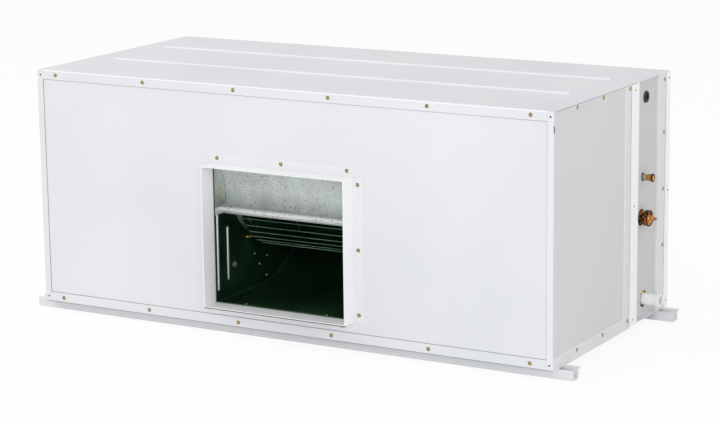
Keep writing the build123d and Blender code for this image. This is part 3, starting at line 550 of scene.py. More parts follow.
# %% Mesh helpers
def add_piece(name, mesh, finish, body):
    """Links a mesh as a piece with its finish, on the body that carries it."""
    piece = bpy.data.objects.new(name, mesh)
    bpy.context.scene.collection.objects.link(piece)
    mesh.materials.clear()
    mesh.materials.append(finish)
    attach(piece, body)
    return piece


def mesh_of(name, shape):
    mesh = bpy.data.meshes.new(name)
    bmesh.ops.recalc_face_normals(shape, faces=shape.faces)
    shape.to_mesh(mesh)
    shape.free()
    return mesh


def spin(profile, turns=24):
    """A closed body about +Z from a profile of (radius, height), which starts and ends on the axis."""
    shape = bmesh.new()
    rings = []
    for radius, height in profile:
        if radius == 0.0:
            rings.append([shape.verts.new((0.0, 0.0, height))])
            continue
        angles = [2 * math.pi * index / turns for index in range(turns)]
        rings.append([shape.verts.new((radius * math.cos(a), radius * math.sin(a), height)) for a in angles])
    for low, high in zip(rings, rings[1:]):
        for index in range(turns):
            after = (index + 1) % turns
            corners = [low[index % len(low)], low[after % len(low)], high[after % len(high)], high[index % len(high)]]
            corners = list(dict.fromkeys(corners))
            shape.faces.new(corners)
    return shape


def cuboid(low, high, bevel=0.0):
    """A box between two corners, with its edges eased."""
    shape = bmesh.new()
    bmesh.ops.create_cube(shape, size=1.0)
    for vert in shape.verts:
        for axis in range(3):
            vert.co[axis] = low[axis] if vert.co[axis] < 0 else high[axis]
    if bevel:
        bmesh.ops.bevel(shape, geom=list(shape.edges), offset=bevel, segments=2, affect="EDGES", profile=0.5)
    return shape


def facing(direction):
    """A turn that takes +Z to a direction."""
    return Vector(direction).to_track_quat("Z", "Y").to_matrix().to_4x4()


def stamped(name, template, places, direction, finish, body, roll=0.0):
    """One mesh with a copy of the template at each place, its +Z turned to the direction."""
    shape = bmesh.new()
    turn = facing(direction)
    for index, place in enumerate(places):
        spun = Matrix.Rotation(roll + 0.7 * index, 4, "Z")
        copy = template.copy()
        copy.transform(Matrix.Translation(place) @ turn @ spun)
        shape.from_mesh(copy)
        bpy.data.meshes.remove(copy)
    mesh = bpy.data.meshes.new(name)
    shape.to_mesh(mesh)
    shape.free()
    for face in mesh.polygons:
        face.use_smooth = True
    mesh.set_sharp_from_angle(angle=math.radians(35))
    return add_piece(name, mesh, finish, body)


def cut_away(base_shape, cutter_shape):
    """The first shape with the second cut out of it, as a new mesh."""
    made = []
    for label, shape in (("base", base_shape), ("cutter", cutter_shape)):
        thing = bpy.data.objects.new(label, mesh_of(label, shape))
        bpy.context.scene.collection.objects.link(thing)
        made.append(thing)
    solid, cutter = made
    cut = solid.modifiers.new("cut", "BOOLEAN")
    cut.object = cutter
    cut.solver = "EXACT"
    bpy.context.view_layer.update()
    graph = bpy.context.evaluated_depsgraph_get()
    mesh = bpy.data.meshes.new_from_object(solid.evaluated_get(graph))
    for thing in made:
        bpy.data.objects.remove(thing)
    return mesh


print("helpers ready")

# %% [markdown]
# ## Screws
#
# A self-tapping screw has a pan head on a pressed washer flange, with a cross recess. A thin
# black ring under it, a little wider than the head, is painted shadow that outlines it. The
# head is a spun profile, and the recess is cut with two crossed, tapered bars. It is made
# once, and stamped wherever the panels are fixed.

# %% Make the screw
HEAD_RADIUS = 2.1 * MM
HEAD_HEIGHT = 2.2 * MM
RECESS_WIDTH = 0.9 * MM
RECESS_LENGTH = 2.6 * MM
RECESS_DEPTH = 1.4 * MM


def screw_mesh():
    washer = 2.6 * MM
    profile = [
        (0.0, -0.4 * MM),
        (HEAD_RADIUS * 0.5, -0.4 * MM),
        (washer, 0.0),
        (washer, 0.5 * MM),
        (HEAD_RADIUS, 0.8 * MM),
        (HEAD_RADIUS * 0.94, HEAD_HEIGHT * 0.7),
        (HEAD_RADIUS * 0.74, HEAD_HEIGHT * 0.93),
        (HEAD_RADIUS * 0.4, HEAD_HEIGHT),
        (0.0, HEAD_HEIGHT),
    ]
    head = spin(profile, 20)
    floor = HEAD_HEIGHT - RECESS_DEPTH
    above = HEAD_HEIGHT + 1 * MM
    for half_x, half_y in ((RECESS_LENGTH / 2, RECESS_WIDTH / 2), (RECESS_WIDTH / 2, RECESS_LENGTH / 2)):
        bar = cuboid((-half_x, -half_y, floor), (half_x, half_y, above))
        for vert in bar.verts:
            if vert.co.z < floor + 0.1 * MM:
                vert.co.x *= 0.7
                vert.co.y *= 0.7
        cut = cut_away(head, bar)
        head = bmesh.new()
        head.from_mesh(cut)
        bpy.data.meshes.remove(cut)
    return mesh_of("screw", head)


SCREW = screw_mesh()
# A black ring under each screw head: painted shadow.
SHADOW_RING_RADIUS = 3.8 * MM
SHADOW_RING_HEIGHT = 0.35 * MM
SHADOW_RING_PROFILE = [(0.0, -0.1 * MM), (SHADOW_RING_RADIUS, -0.1 * MM), (SHADOW_RING_RADIUS, SHADOW_RING_HEIGHT), (0.0, SHADOW_RING_HEIGHT)]
SHADOW_RING = mesh_of("shadow_ring", spin(SHADOW_RING_PROFILE, 18))
print("screw:", len(SCREW.polygons), "faces")

# %% [markdown]
# ## Where the screws go
#
# The photograph gives the rows: six along each front flange, three along the side panel's
# top and bottom, a column on the pipe panel's margin, and a few round the outlet. The
# places are written in millimetres from the casing's lower left front corner, as a fitter
# would measure them.

# %% Place the screws
def from_corner(x, y, z):
    """A place given in millimetres from the casing's lower left front corner."""
    return Vector((CASING_LEFT + x * MM, CASING_FRONT + y * MM, CASING_BASE + z * MM))


FLANGE_SCREWS = (47, 269, 490, 711, 931, 1151)
FLANGE_TOP_Z, FLANGE_LOW_Z = 491, 9.6
SIDE_SCREWS = (103, 224, 346)
PIPE_MARGIN_SCREWS = (20, 138, 257, 376, 486)
PIPE_MARGIN_Y = 529
MARGIN_RISE = 2.5
LENGTH, DEPTH, HEIGHT = 1200, 560, 500
WALL = 1.2

front_rows = [from_corner(x, 0, z) for x in FLANGE_SCREWS for z in (FLANGE_TOP_Z, FLANGE_LOW_Z)]
back_rows = [from_corner(x, DEPTH, z) for x in FLANGE_SCREWS for z in (FLANGE_TOP_Z, FLANGE_LOW_Z)]
right_top = [from_corner(LENGTH + (MARGIN_RISE if y > 327 else 0), y, 493) for y in SIDE_SCREWS]
right_low = [from_corner(LENGTH + MARGIN_RISE, y, 18) for y in SIDE_SCREWS]
pipe_column = [from_corner(LENGTH, PIPE_MARGIN_Y, z) for z in PIPE_MARGIN_SCREWS]
left_rows = [from_corner(0, y, z) for y in (103, 224, 346, 467) for z in (491, 9.6)]
groups = {
    "front_flange_screws": (front_rows, (0, -1, 0)),
    "back_flange_screws": (back_rows, (0, 1, 0)),
    "right_panel_screws": (right_top + right_low, (1, 0, 0)),
    "pipe_panel_screws": (pipe_column, (1, 0, 0)),
    "left_panel_screws": (left_rows, (-1, 0, 0)),
}
for name, (places, direction) in groups.items():
    stamped(name, SCREW, places, direction, GOLD_PLATE, "casing")
    stamped(name + "_seals", SHADOW_RING, places, direction, SHADOW_BLACK, "casing")
print("placed", sum(len(places) for places, _ in groups.values()), "casing screws")

# %% Place the screws round the ducts
FOOT_FACE = (PANEL_FACE - CASING_FRONT) / MM - 1.5
collar_top = [from_corner(x, FOOT_FACE, 349) for x in (448, 600, 752)]
collar_sides = [from_corner(x, FOOT_FACE, z) for x in (424, 776) for z in (59, 191, 323)]
collar_places = collar_top + collar_sides
stamped("outlet_collar_screws", SCREW, collar_places, (0, -1, 0), GOLD_PLATE, "casing")
stamped("outlet_collar_seals", SHADOW_RING, collar_places, (0, -1, 0), SHADOW_BLACK, "casing")

flange_low, flange_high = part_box("return_flange_top")
side_low, side_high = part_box("return_flange_right")
bottom_low, bottom_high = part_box("return_flange_bottom")
FLANGE_FACE = flange_low[1] + 1.5 * MM
FOOT_INSET = 9 * MM
return_columns = [CASING_LEFT + (150 + 180 * index) * MM for index in range(6)]
return_heights = [side_low[2] + (side_high[2] - side_low[2]) * share for share in (0.1, 0.5, 0.9)]
return_places = [Vector((x, FLANGE_FACE, flange_high[2] - FOOT_INSET)) for x in return_columns]
return_places += [Vector((x, FLANGE_FACE, bottom_low[2] + FOOT_INSET)) for x in return_columns]
for z in return_heights:
    return_places += [Vector((side * (side_high[0] - FOOT_INSET), FLANGE_FACE, z)) for side in (-1, 1)]
stamped("return_flange_screws", SCREW, return_places, (0, 1, 0), GOLD_PLATE, "casing")
print("placed", len(return_places), "return flange screws")

# %% [markdown]
# ## Seams
#
# Sheet metal panels never meet perfectly: there is a thin shadow wherever a panel stops
# against a post or a flange. The imported model has the real gaps, but they are narrower
# than a pixel, so a thin line of painted shadow, in a dark grey, is laid in each.

# %% Lay the seams
SEAM_WIDTH = 0.8 * MM
SEAM_RISE = 0.25 * MM


def boxes_mesh(name, limits, bevel=0.0):
    """One mesh of several cuboids, each given by its low and high corners."""
    shape = bmesh.new()
    for low, high in limits:
        part = mesh_of("part", cuboid(low, high, bevel))
        shape.from_mesh(part)
        bpy.data.meshes.remove(part)
    return mesh_of(name, shape)


def front_strip(x, z):
    """A strip on the front panel between limits along X and Z."""
    return (x[0], PANEL_FACE - SEAM_RISE, z[0]), (x[1], PANEL_FACE, z[1])


def side_strip(face, y, z):
    """A strip on a face of the right-hand side."""
    return (face, y[0], z[0]), (face + SEAM_RISE, y[1], z[1])


side_box_low, side_box_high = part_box("right_side_panel")
mid_low, mid_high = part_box("right_mid_post")
rear_low, rear_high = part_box("right_rear_post")
RETURN_EDGE = CASING_RIGHT - 14 * MM
FLANGE_LOW_EDGE = CASING_BASE + 20 * MM
FLANGE_TOP_EDGE = CASING_TOP - 19 * MM
RECESS_FACE = CASING_RIGHT - 8 * MM

front_seams = []
for side in (-1, 1):
    x = sorted((side * RETURN_EDGE, side * (RETURN_EDGE - SEAM_WIDTH)))
    front_seams.append(front_strip(x, (FLANGE_LOW_EDGE, FLANGE_TOP_EDGE)))
across = (-RETURN_EDGE, RETURN_EDGE)
front_seams.append(front_strip(across, (FLANGE_LOW_EDGE, FLANGE_LOW_EDGE + SEAM_WIDTH)))
front_seams.append(front_strip(across, (FLANGE_TOP_EDGE - SEAM_WIDTH, FLANGE_TOP_EDGE)))
foot_line = (CASING_LEFT + MM, CASING_FRONT - 0.2 * MM, CASING_BASE - 0.3 * MM)
front_seams.append((foot_line, (CASING_RIGHT - MM, CASING_FRONT + 3 * MM, CASING_BASE + 0.5 * MM)))
add_piece("front_seams", boxes_mesh("front_seams", front_seams), SEAM_GREY, "casing")

full = (CASING_BASE + 2 * MM, CASING_TOP - 2 * MM)
side_seams = [
    side_strip(mid_high[0], (mid_low[1] - SEAM_WIDTH, mid_low[1]), full),
    side_strip(RECESS_FACE, (mid_high[1], mid_high[1] + 2 * SEAM_WIDTH), full),
    side_strip(CASING_RIGHT, (rear_low[1] - SEAM_WIDTH, rear_low[1]), full),
    side_strip(CASING_RIGHT, (CASING_FRONT + MM, mid_low[1]), (CASING_TOP - 1.6 * MM, CASING_TOP - 0.9 * MM)),
]
add_piece("side_seams", boxes_mesh("side_seams", side_seams), SEAM_GREY, "casing")
print("seams:", len(front_seams) + len(side_seams))

# %% [markdown]
# ## Folds and beads
#
# Folded sheet has a small radius, and that radius is where the light catches: a bright
# line along the top's front fold and along each pressed bead. Each gets a slim round
# strip of a brighter copy of the paint, a painted highlight.

# %% Round the folds
FOLD_RADIUS = 1.6 * MM
CREST_RADIUS = 2.4 * MM


def rod(name, start, end, radius, sides=12, squash=1.0):
    """A straight round strip between two places, with flat ends."""
    axis = Vector(end) - Vector(start)
    shape = spin([(0.0, 0.0), (radius, 0.0), (radius, axis.length), (0.0, axis.length)], sides)
    for vert in shape.verts:
        vert.co.x *= squash
    mesh = mesh_of(name, shape)
    mesh.transform(Matrix.Translation(start) @ facing(axis))
    for face in mesh.polygons:
        face.use_smooth = True
    mesh.set_sharp_from_angle(angle=math.radians(50))
    return mesh


def joined(name, meshes):
    shape = bmesh.new()
    for mesh in meshes:
        shape.from_mesh(mesh)
        bpy.data.meshes.remove(mesh)
    mesh = bpy.data.meshes.new(name)
    shape.to_mesh(mesh)
    shape.free()
    mesh.set_sharp_from_angle(angle=math.radians(50))
    return mesh


BEAD_PLACES = (195, 390)
BEAD_END = 57
crests = []
for y in BEAD_PLACES:
    z = HEIGHT + BEAD_RISE / MM - 1.2
    crests.append(rod("crest", from_corner(BEAD_END + 3, y, z), from_corner(LENGTH - BEAD_END - 3, y, z), CREST_RADIUS))
# Painted highlight: the crests and the fold take the brighter coat.
add_piece("bead_crests", joined("bead_crests", crests), LIT_COAT, "casing")

fold = rod("front_fold", from_corner(14, 1.0, HEIGHT - 1.0), from_corner(LENGTH - 14, 1.0, HEIGHT - 1.0), FOLD_RADIUS)
add_piece("front_fold", fold, LIT_COAT, "casing")
print("folds and beads:", len(crests) + 1)

# %% [markdown]
# ## Holes, nicks and the collar's corner
#
# The posts have small fixing holes that show black, because nothing behind them is lit.
# The right front corner has one hole at each end and a nick in its edge. Under the
# collar's lower flange a dark strip is painted shadow, wider at the right-hand corner, where
# the angle is lapped over the next.

# %% Blacken the holes
HOLE_RADIUS = 2.4 * MM


def disc_mesh(radius, depth):
    return mesh_of("disc", spin([(0.0, 0.0), (radius, 0.0), (radius * 0.9, depth), (0.0, depth)], 16))


disc = disc_mesh(HOLE_RADIUS, 0.3 * MM)
mid_y = (mid_low[1] + mid_high[1]) / 2
hole_heights = (CASING_BASE + 14 * MM, (CASING_BASE + CASING_TOP) / 2, CASING_TOP - 14 * MM)
post_holes = [Vector((mid_high[0] - 0.9 * MM, mid_y, z)) for z in hole_heights]
post_holes += [Vector((CASING_RIGHT - 0.9 * MM, CASING_BACK - 6 * MM, z)) for z in hole_heights]
stamped("post_hole_backs", disc, post_holes, (1, 0, 0), SHADOW_BLACK, "casing")
corner_disc = disc_mesh(2.0 * MM, 0.15 * MM)
corner_holes = [from_corner(x, 0, z) for x in (8, LENGTH - 8) for z in (10, 490)]
stamped("corner_holes", corner_disc, corner_holes, (0, -1, 0), SHADOW_BLACK, "casing")
# The nick is a grey block on the corner's edge, painted shade where the notch is.
nick = [(from_corner(LENGTH - 1.5, -0.2, 459), from_corner(LENGTH + 0.2, 2.5, 473))]
add_piece("corner_nick", boxes_mesh("corner_nick", nick, 0.5 * MM), SEAM_GREY, "casing")

collar_low, collar_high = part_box("outlet_collar_bottom")
MOUTH = collar_low[1]
COLLAR_HALF = collar_high[0]
COLLAR_BOTTOM = CASING_BASE + 44.5 * MM
# Painted shadow: a dark strip under the collar's lower flange, wider at the lapped corner.
collar_lines = [
    ((-COLLAR_HALF, MOUTH, COLLAR_BOTTOM - 1.6 * MM), (COLLAR_HALF - 9 * MM, MOUTH + 2 * MM, COLLAR_BOTTOM)),
    ((COLLAR_HALF - 9 * MM, MOUTH, COLLAR_BOTTOM - 2.2 * MM), (COLLAR_HALF - MM, MOUTH + 6 * MM, COLLAR_BOTTOM)),
]
add_piece("collar_shadow_strip", boxes_mesh("collar_shadow_strip", collar_lines), SHADOW_BLACK, "casing")
print("dark holes:", len(post_holes) + len(corner_holes))

# %% [markdown]
# ## Inside the outlet
#
# The blower shows through the outlet. Its left side plate is galvanised above the
# cut-off's lip and enamelled below, and has two pressed ribs, a dimple and some
# fasteners. The cut-off ends in a rolled lip, the brightest thing in the opening: that
# brightness, and the pale ribs and rivets, are painted highlight, a lighter copy of the
# zinc, and a black copy beside each rib is painted shadow. Places here are given as
# distances back from the front face and heights above the casing's foot, on the plate's
# inner face.

# %% Dress the left side plate
plate_low, plate_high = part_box("blower_left_plate")
scroll_low, scroll_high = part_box("blower_scroll")
PLATE_FACE = scroll_low[0]
WHEEL_AXIS = Vector((0.0, -0.095, 0.2905))


def on_plate(y, z, proud=0.0):
    """A place on the left plate's inner face, in millimetres back from the front and up from the foot."""
    return Vector((PLATE_FACE + proud * MM, CASING_FRONT + y * MM, CASING_BASE + z * MM))


def rib_mesh(y, low, high, radius=3.2):
    """A pressed rib: an upright round bar with domed ends, sunk in the plate to half its depth."""
    length = (high - low) * MM
    r = radius * MM
    profile = [(0.0, 0.0), (r * 0.7, r * 0.3), (r, r), (r, length - r), (r * 0.7, length - r * 0.3), (0.0, length)]
    shape = spin(profile, 16)
    for vert in shape.verts:
        vert.co.x *= 0.7
    mesh = mesh_of("rib", shape)
    mesh.transform(Matrix.Translation(on_plate(y, low)))
    for face in mesh.polygons:
        face.use_smooth = True
    return mesh


ribs = [rib_mesh(10.5, 68, 229), rib_mesh(48.0, 83, 197)]
add_piece("plate_ribs", joined("plate_ribs", ribs), LIT_ZINC, "casing")
# A black copy of each rib, set just behind it, is painted shadow.
rib_shades = [rib_mesh(13.5, 67, 230, 3.0), rib_mesh(51.0, 82, 198, 3.0)]
add_piece("rib_shades", joined("rib_shades", rib_shades), SHADOW_BLACK, "casing")

DIMPLE = [(0.0, 0.0), (7.0 * MM, 0.0), (6.4 * MM, 1.4 * MM), (5.0 * MM, 2.0 * MM), (3.6 * MM, 1.2 * MM), (0.0, 0.6 * MM)]
dimple = mesh_of("dimple", spin(DIMPLE, 20))
stamped("plate_dimple", dimple, [on_plate(73, 111)], (1, 0, 0), CUTOFF_ZINC, "casing")
rivet = mesh_of("rivet", spin([(0.0, 0.0), (2.4 * MM, 0.0), (2.0 * MM, 1.0 * MM), (0.0, 1.6 * MM)], 14))
rivets = [on_plate(y, z) for y, z in ((14, 123), (198, 104), (195, 62), (150, 118), (168, 92))]
stamped("plate_rivets", rivet, rivets, (1, 0, 0), LIT_ZINC, "casing")
clip = rod("plate_clip", on_plate(119, 160.5, 1.5), on_plate(146, 156.5, 1.5), 1.9 * MM)
add_piece("plate_clip", clip, LIT_GOLD, "casing")
strip_screws = [on_plate(16, 267, 0.6), on_plate(22, 281, 0.6)]
stamped("strip_screws", SCREW, strip_screws, (1, 0, 0), GOLD_PLATE, "casing")
print("left plate: ribs", len(ribs), "rivets", len(rivets))

# %% The galvanised wedge beside the cut-off
cutoff_low, cutoff_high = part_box("blower_cutoff")
LIP_RADIUS = 4 * MM
LIP_CENTRE = Vector((0.0, cutoff_high[1] - LIP_RADIUS, cutoff_low[2] + LIP_RADIUS))
WEDGE_FRONT = PANEL_FACE + 2 * MM
WEDGE_BOW = 4 * MM


def cutoff_curve(count=10):
    """Places down the cut-off's face, from the outlet's top edge to the lip."""
    start = Vector((0.0, WEDGE_FRONT, cutoff_high[2] - MM))
    places = []
    for index in range(count + 1):
        share = index / count
        place = start.lerp(LIP_CENTRE, share)
        place.y += WEDGE_BOW * 4 * share * (1 - share)
        places.append(place)
    return places


def wedge_mesh(proud):
    """A flat plate between the front panel and the cut-off, down to the lip."""
    curve = cutoff_curve()
    outline = [(place.y, place.z) for place in curve]
    outline += [(WEDGE_FRONT, LIP_CENTRE.z - LIP_RADIUS)]
    shape = bmesh.new()
    faces = []
    for x in (PLATE_FACE, PLATE_FACE + proud):
        faces.append([shape.verts.new((x, y, z)) for y, z in outline])
    shape.faces.new(faces[0])
    shape.faces.new(faces[1])
    count = len(outline)
    for index in range(count):
        after = (index + 1) % count
        shape.faces.new((faces[0][index], faces[0][after], faces[1][after], faces[1][index]))
    return mesh_of("wedge", shape)


def wire(name, places, radius):
    """A thin round line through a list of places."""
    pieces = [rod("run", start, end, radius, 8) for start, end in zip(places, places[1:])]
    return joined(name, pieces)


add_piece("plate_wedge", wedge_mesh(0.5 * MM), CUTOFF_ZINC, "casing")

lap_line = []
for index, place in enumerate(cutoff_curve()):
    share = index / 10
    inset = (15 - 9 * share * share) * MM
    lap_line.append(Vector((PLATE_FACE + inset, place.y - 0.5 * MM, place.z)))
add_piece("wedge_seam", wire("wedge_seam", lap_line, 0.6 * MM), SEAM_GREY, "casing")
print("cut-off's lip at y", round(LIP_CENTRE.y, 4), "z", round(LIP_CENTRE.z, 4))

# %% The rolled lip
ROLL_RADIUS = 8.0 * MM
PLATE_GAP = 0.6 * MM
roll_start = LIP_CENTRE + Vector((PLATE_FACE + PLATE_GAP, 0.0, 0.0))
roll_end = LIP_CENTRE - Vector((PLATE_FACE + PLATE_GAP, 0.0, 0.0))
add_piece("rolled_lip", rod("rolled_lip", roll_start, roll_end, ROLL_RADIUS, 14), LIT_ZINC, "casing")
band_low = (PLATE_FACE, WEDGE_FRONT, LIP_CENTRE.z - 7 * MM)
band_high = (PLATE_FACE + 1.2 * MM, LIP_CENTRE.y, LIP_CENTRE.z + 8 * MM)
add_piece("plate_band", boxes_mesh("plate_band", [(band_low, band_high)]), LIT_ZINC, "casing")
# Painted shade: three dark lines round the roll, between its bright bands.
roll_lines = []
for turn in (190, 215, 240):
    away = Vector((0.0, math.cos(math.radians(turn)), math.sin(math.radians(turn)))) * (ROLL_RADIUS - 0.2 * MM)
    roll_lines.append(rod("line", roll_start + away, roll_end + away, 0.5 * MM, 8))
add_piece("lip_lines", joined("lip_lines", roll_lines), SEAM_GREY, "casing")
print("rolled lip:", round(2 * ROLL_RADIUS / MM, 1), "mm across")

# %% [markdown]
# ## Blade edges
#
# Each blade's tip shows as a pale line, which is a painted highlight: a thin rod of pale
# enamel along each tip. The lines are on the wheel, so they turn with it, at the same pitch
# as the imported blades.

# %% Draw the blade edges
BLADE_COUNT = 43
BLADE_LEAN = 3.6
WHEEL_RADIUS = 130 * MM
BLADE_SPANS = ((0.8 * MM, 130.4 * MM), (-130.4 * MM, -0.8 * MM))


def blade_edges():
    edges = []
    for index in range(BLADE_COUNT):
        angle = math.radians(index * 360.0 / BLADE_COUNT - BLADE_LEAN)
        tip = WHEEL_AXIS + Vector((0.0, math.cos(angle), math.sin(angle))) * WHEEL_RADIUS
        for low, high in BLADE_SPANS:
            edges.append(rod("edge", tip + Vector((low, 0, 0)), tip + Vector((high, 0, 0)), 0.5 * MM, 6))
    return joined("blade_edges", edges)


add_piece("blade_edges", blade_edges(), BLADE_HIGHLIGHT, "rotor")
print("blade edges:", 2 * BLADE_COUNT)

# %% The corner between the side plate and the scroll
SCROLL_FLOOR = CASING_BASE + 46 * MM
LAST_RADIUS = 213.5 * MM
LAST_CENTRE = (WHEEL_AXIS.y - 11 * MM, WHEEL_AXIS.z - 11 * MM)


def scroll_corner(x, end_angle=52, count=16):
    """Places along the scroll's floor and up its last arc, just inside the plate at x."""
    places = [Vector((x, PANEL_FACE + 4 * MM, SCROLL_FLOOR + 0.5 * MM))]
    for index in range(count + 1):
        angle = math.radians(-90 + end_angle * index / count)
        reach = LAST_RADIUS - 0.6 * MM
        places.append(Vector((x, LAST_CENTRE[0] + reach * math.cos(angle), LAST_CENTRE[1] + reach * math.sin(angle))))
    return places


corner_wire = wire("scroll_corner", scroll_corner(PLATE_FACE + 0.8 * MM), 0.9 * MM)
add_piece("scroll_corner", corner_wire, PALE_ENAMEL, "casing")
front_lip = [
    Vector((PLATE_FACE + MM, PANEL_FACE + 2 * MM, SCROLL_FLOOR + MM)),
    Vector((-PLATE_FACE - MM, PANEL_FACE + 2 * MM, SCROLL_FLOOR + MM)),
]
add_piece("floor_lip", wire("floor_lip", front_lip, 1.0 * MM), PALE_ENAMEL, "casing")
floor_screws = [Vector((x * MM, CASING_FRONT + y * MM, SCROLL_FLOOR)) for x, y in ((-98, 14), (94, 12), (8, 198))]
stamped("floor_screws", SCREW, floor_screws, (0, 0, 1), GOLD_PLATE, "casing")
print("scroll floor at", round(SCROLL_FLOOR / MM), "mm")

# %% [markdown]
# ## Pipe ends
#
# The suction stub is closed with a spun cap whose filling tail is pinched flat. The liquid
# stub has a bright tube behind its copper fitting and a dark open rim. The drain comes
# through a hole bigger than itself, and the yellow foam shows round it.

# %% Finish the pipe ends
gas_low, gas_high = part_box("gas_stub")
liquid_low, liquid_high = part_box("liquid_stub")
drain_low, drain_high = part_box("drain_stub")
GAS_Y = gas_low[1] + 16.3 * MM
GAS_Z = (gas_low[2] + gas_high[2]) / 2
LIQUID_Y = (liquid_low[1] + liquid_high[1]) / 2
LIQUID_Z = (liquid_low[2] + liquid_high[2]) / 2
DRAIN_Y = (drain_low[1] + drain_high[1]) / 2
DRAIN_Z = (drain_low[2] + drain_high[2]) / 2
TAIL = 9 * MM


def turned_part(name, place, profile, turns=28):
    """A spun piece whose axis runs out along +X from a place."""
    mesh = mesh_of(name, spin([(radius * MM, height * MM) for radius, height in profile], turns))
    mesh.transform(Matrix.Translation(place) @ facing((1, 0, 0)))
    for face in mesh.polygons:
        face.use_smooth = True
    mesh.set_sharp_from_angle(angle=math.radians(40))
    return mesh


gas_end = Vector((gas_high[0], GAS_Y, GAS_Z))
tail_profile = [(0, -1), (4.6, -0.6), (3.4, 1.0), (2.6, 2.0), (2.5, 5.0), (3.6, 7.0), (3.2, 9.6), (0, 10.4)]
tail = turned_part("gas_tail", gas_end, tail_profile, 16)
add_piece("gas_tail", tail, BRASS, "casing")
band_place = gas_end + Vector((-6.5 * MM, 0, 0))
bands = turned_part("gas_bands", band_place, [(0, 0), (16.4, 0), (17.0, 0.6), (17.0, 2.0), (16.4, 2.6), (0, 2.6)])
add_piece("gas_bands", bands, DARK_COPPER, "casing")

liquid_end = Vector((liquid_high[0], LIQUID_Y, LIQUID_Z))
sleeve_place = Vector((RECESS_FACE, LIQUID_Y, LIQUID_Z))
sleeve = turned_part("liquid_sleeve", sleeve_place, [(0, -2), (6.3, -2), (6.3, 6.4), (6.0, 7.0), (0, 7.0)])
add_piece("liquid_sleeve", sleeve, GROUND_STEEL, "casing")
rim_profile = [(0, -2.4), (8.3, -2.4), (8.7, -1.8), (8.7, -0.4), (8.2, 0.2), (6.2, 0.2), (5.6, -1.4), (0, -1.6)]
add_piece("liquid_rim", turned_part("liquid_rim", liquid_end, rim_profile), DARK_COPPER, "casing")

shade_place = Vector((RECESS_FACE - 5 * MM, DRAIN_Y, DRAIN_Z))
shade = turned_part("drain_shade", shade_place, [(0, 0), (17.2, 0), (17.2, 2.0), (0, 2.0)])
add_piece("drain_shade", shade, SHADOW_BLACK, "casing")
foam_low = (RECESS_FACE - 3 * MM, DRAIN_Y - 9 * MM, DRAIN_Z + 12 * MM)
foam_high = (RECESS_FACE + 0.8 * MM, DRAIN_Y + 4 * MM, DRAIN_Z + 16.5 * MM)
foam = boxes_mesh("drain_foam", [(foam_low, foam_high)], 1.4 * MM)
add_piece("drain_foam", foam, PAN_FOAM, "casing")
print("pipe ends at x", round(gas_end.x, 3), round(liquid_end.x, 3), round(drain_high[0], 3))

# %% [markdown]
# ## Floor, backdrop and light
#
# The unit stands on a plain pale floor in a white room. The background's white comes from
# the floor's and the world's colour as the camera sees it, and not from extra light. The
# light is a dim, even world with three large soft lamps: a key from the front left, so
# that the front is the brightest face, a fill from the right for the pipe end, and a top
# lamp that is a little weaker.

# %% Floor
FLOOR_SIZE = 12.0


def floor_finish():
    """Pale grey that shows the part's shadow, and white as the camera sees it far from the part."""
    graph = Graph("studio_floor")
    grain = graph.noise(60.0, 3.0)
    colour = graph.blend(grain, srgb(246, 246, 247), srgb(252, 252, 252))
    shader = graph.tree.nodes.new("ShaderNodeBsdfPrincipled")
    graph.set(shader.inputs["Base Color"], colour)
    shader.inputs["Roughness"].default_value = 0.9
    glow = graph.tree.nodes.new("ShaderNodeEmission")
    glow.inputs["Color"].default_value = (1.0, 1.0, 1.0, 1.0)
    path = graph.tree.nodes.new("ShaderNodeLightPath")
    seen = Value(graph, path.outputs["Is Camera Ray"]) + Value(graph, path.outputs["Is Glossy Ray"])
    share = seen * FLOOR_GLOW
    mix = graph.tree.nodes.new("ShaderNodeMixShader")
    graph.set(mix.inputs[0], share)
    graph.tree.links.new(shader.outputs[0], mix.inputs[1])
    graph.tree.links.new(glow.outputs[0], mix.inputs[2])
    graph.tree.links.new(mix.outputs[0], graph.output.inputs["Surface"])
    return graph.material


FLOOR_GLOW = 0.9


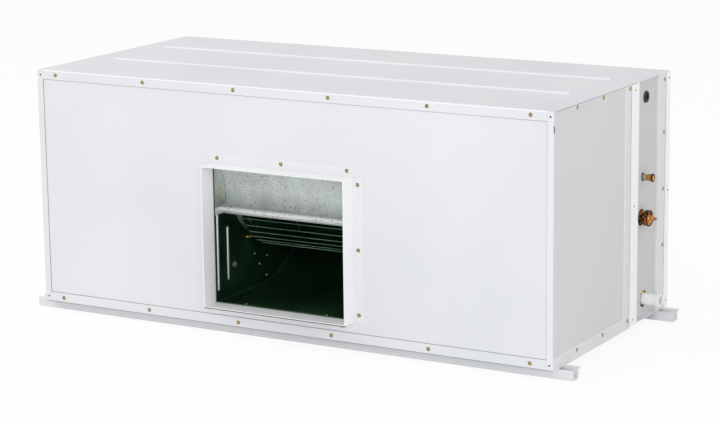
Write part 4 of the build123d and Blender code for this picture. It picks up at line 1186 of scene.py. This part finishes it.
def make_floor():
    shape = bmesh.new()
    half = FLOOR_SIZE / 2
    corners = [shape.verts.new(place) for place in ((-half, -half, 0), (half, -half, 0), (half, half, 0), (-half, half, 0))]
    shape.faces.new(corners)
    floor = bpy.data.objects.new("floor", mesh_of("floor", shape))
    bpy.context.scene.collection.objects.link(floor)
    floor.data.materials.append(floor_finish())
    floor.location.z = -0.5 * MM
    return floor


floor = make_floor()
print("floor:", FLOOR_SIZE, "m square")

# %% World and lamps
WORLD_LIGHT = 0.74
LAMPS = {
    "key": ((2.3, -3.9, 1.7), 2.6, 46.0),
    "fill": ((3.9, -1.4, 1.5), 2.4, 14.5),
    "top": ((-2.5, -0.8, 2.5), 2.4, 28.0),
}


def make_world():
    world = bpy.data.worlds.new("studio")
    world.use_nodes = True
    tree = world.node_tree
    tree.nodes.clear()
    output = tree.nodes.new("ShaderNodeOutputWorld")
    path = tree.nodes.new("ShaderNodeLightPath")
    light = tree.nodes.new("ShaderNodeBackground")
    light.inputs["Color"].default_value = (1.0, 1.0, 1.0, 1.0)
    light.inputs["Strength"].default_value = WORLD_LIGHT
    seen = tree.nodes.new("ShaderNodeBackground")
    seen.inputs["Color"].default_value = (1.0, 1.0, 1.0, 1.0)
    mix = tree.nodes.new("ShaderNodeMixShader")
    tree.links.new(path.outputs["Is Camera Ray"], mix.inputs[0])
    tree.links.new(light.outputs[0], mix.inputs[1])
    tree.links.new(seen.outputs[0], mix.inputs[2])
    tree.links.new(mix.outputs[0], output.inputs["Surface"])
    bpy.context.scene.world = world


def make_lamps():
    aim = Vector((0.0, 0.0, 0.25))
    for name, (place, size, power) in LAMPS.items():
        lamp = bpy.data.lights.new(name, "AREA")
        lamp.shape = "SQUARE"
        lamp.size = size
        lamp.energy = power
        thing = bpy.data.objects.new(name, lamp)
        thing.location = place
        thing.rotation_euler = (aim - Vector(place)).to_track_quat("-Z", "Y").to_euler()
        bpy.context.scene.collection.objects.link(thing)


make_world()
make_lamps()
bpy.context.scene.view_settings.view_transform = "Standard"
print("lamps:", ", ".join(LAMPS))
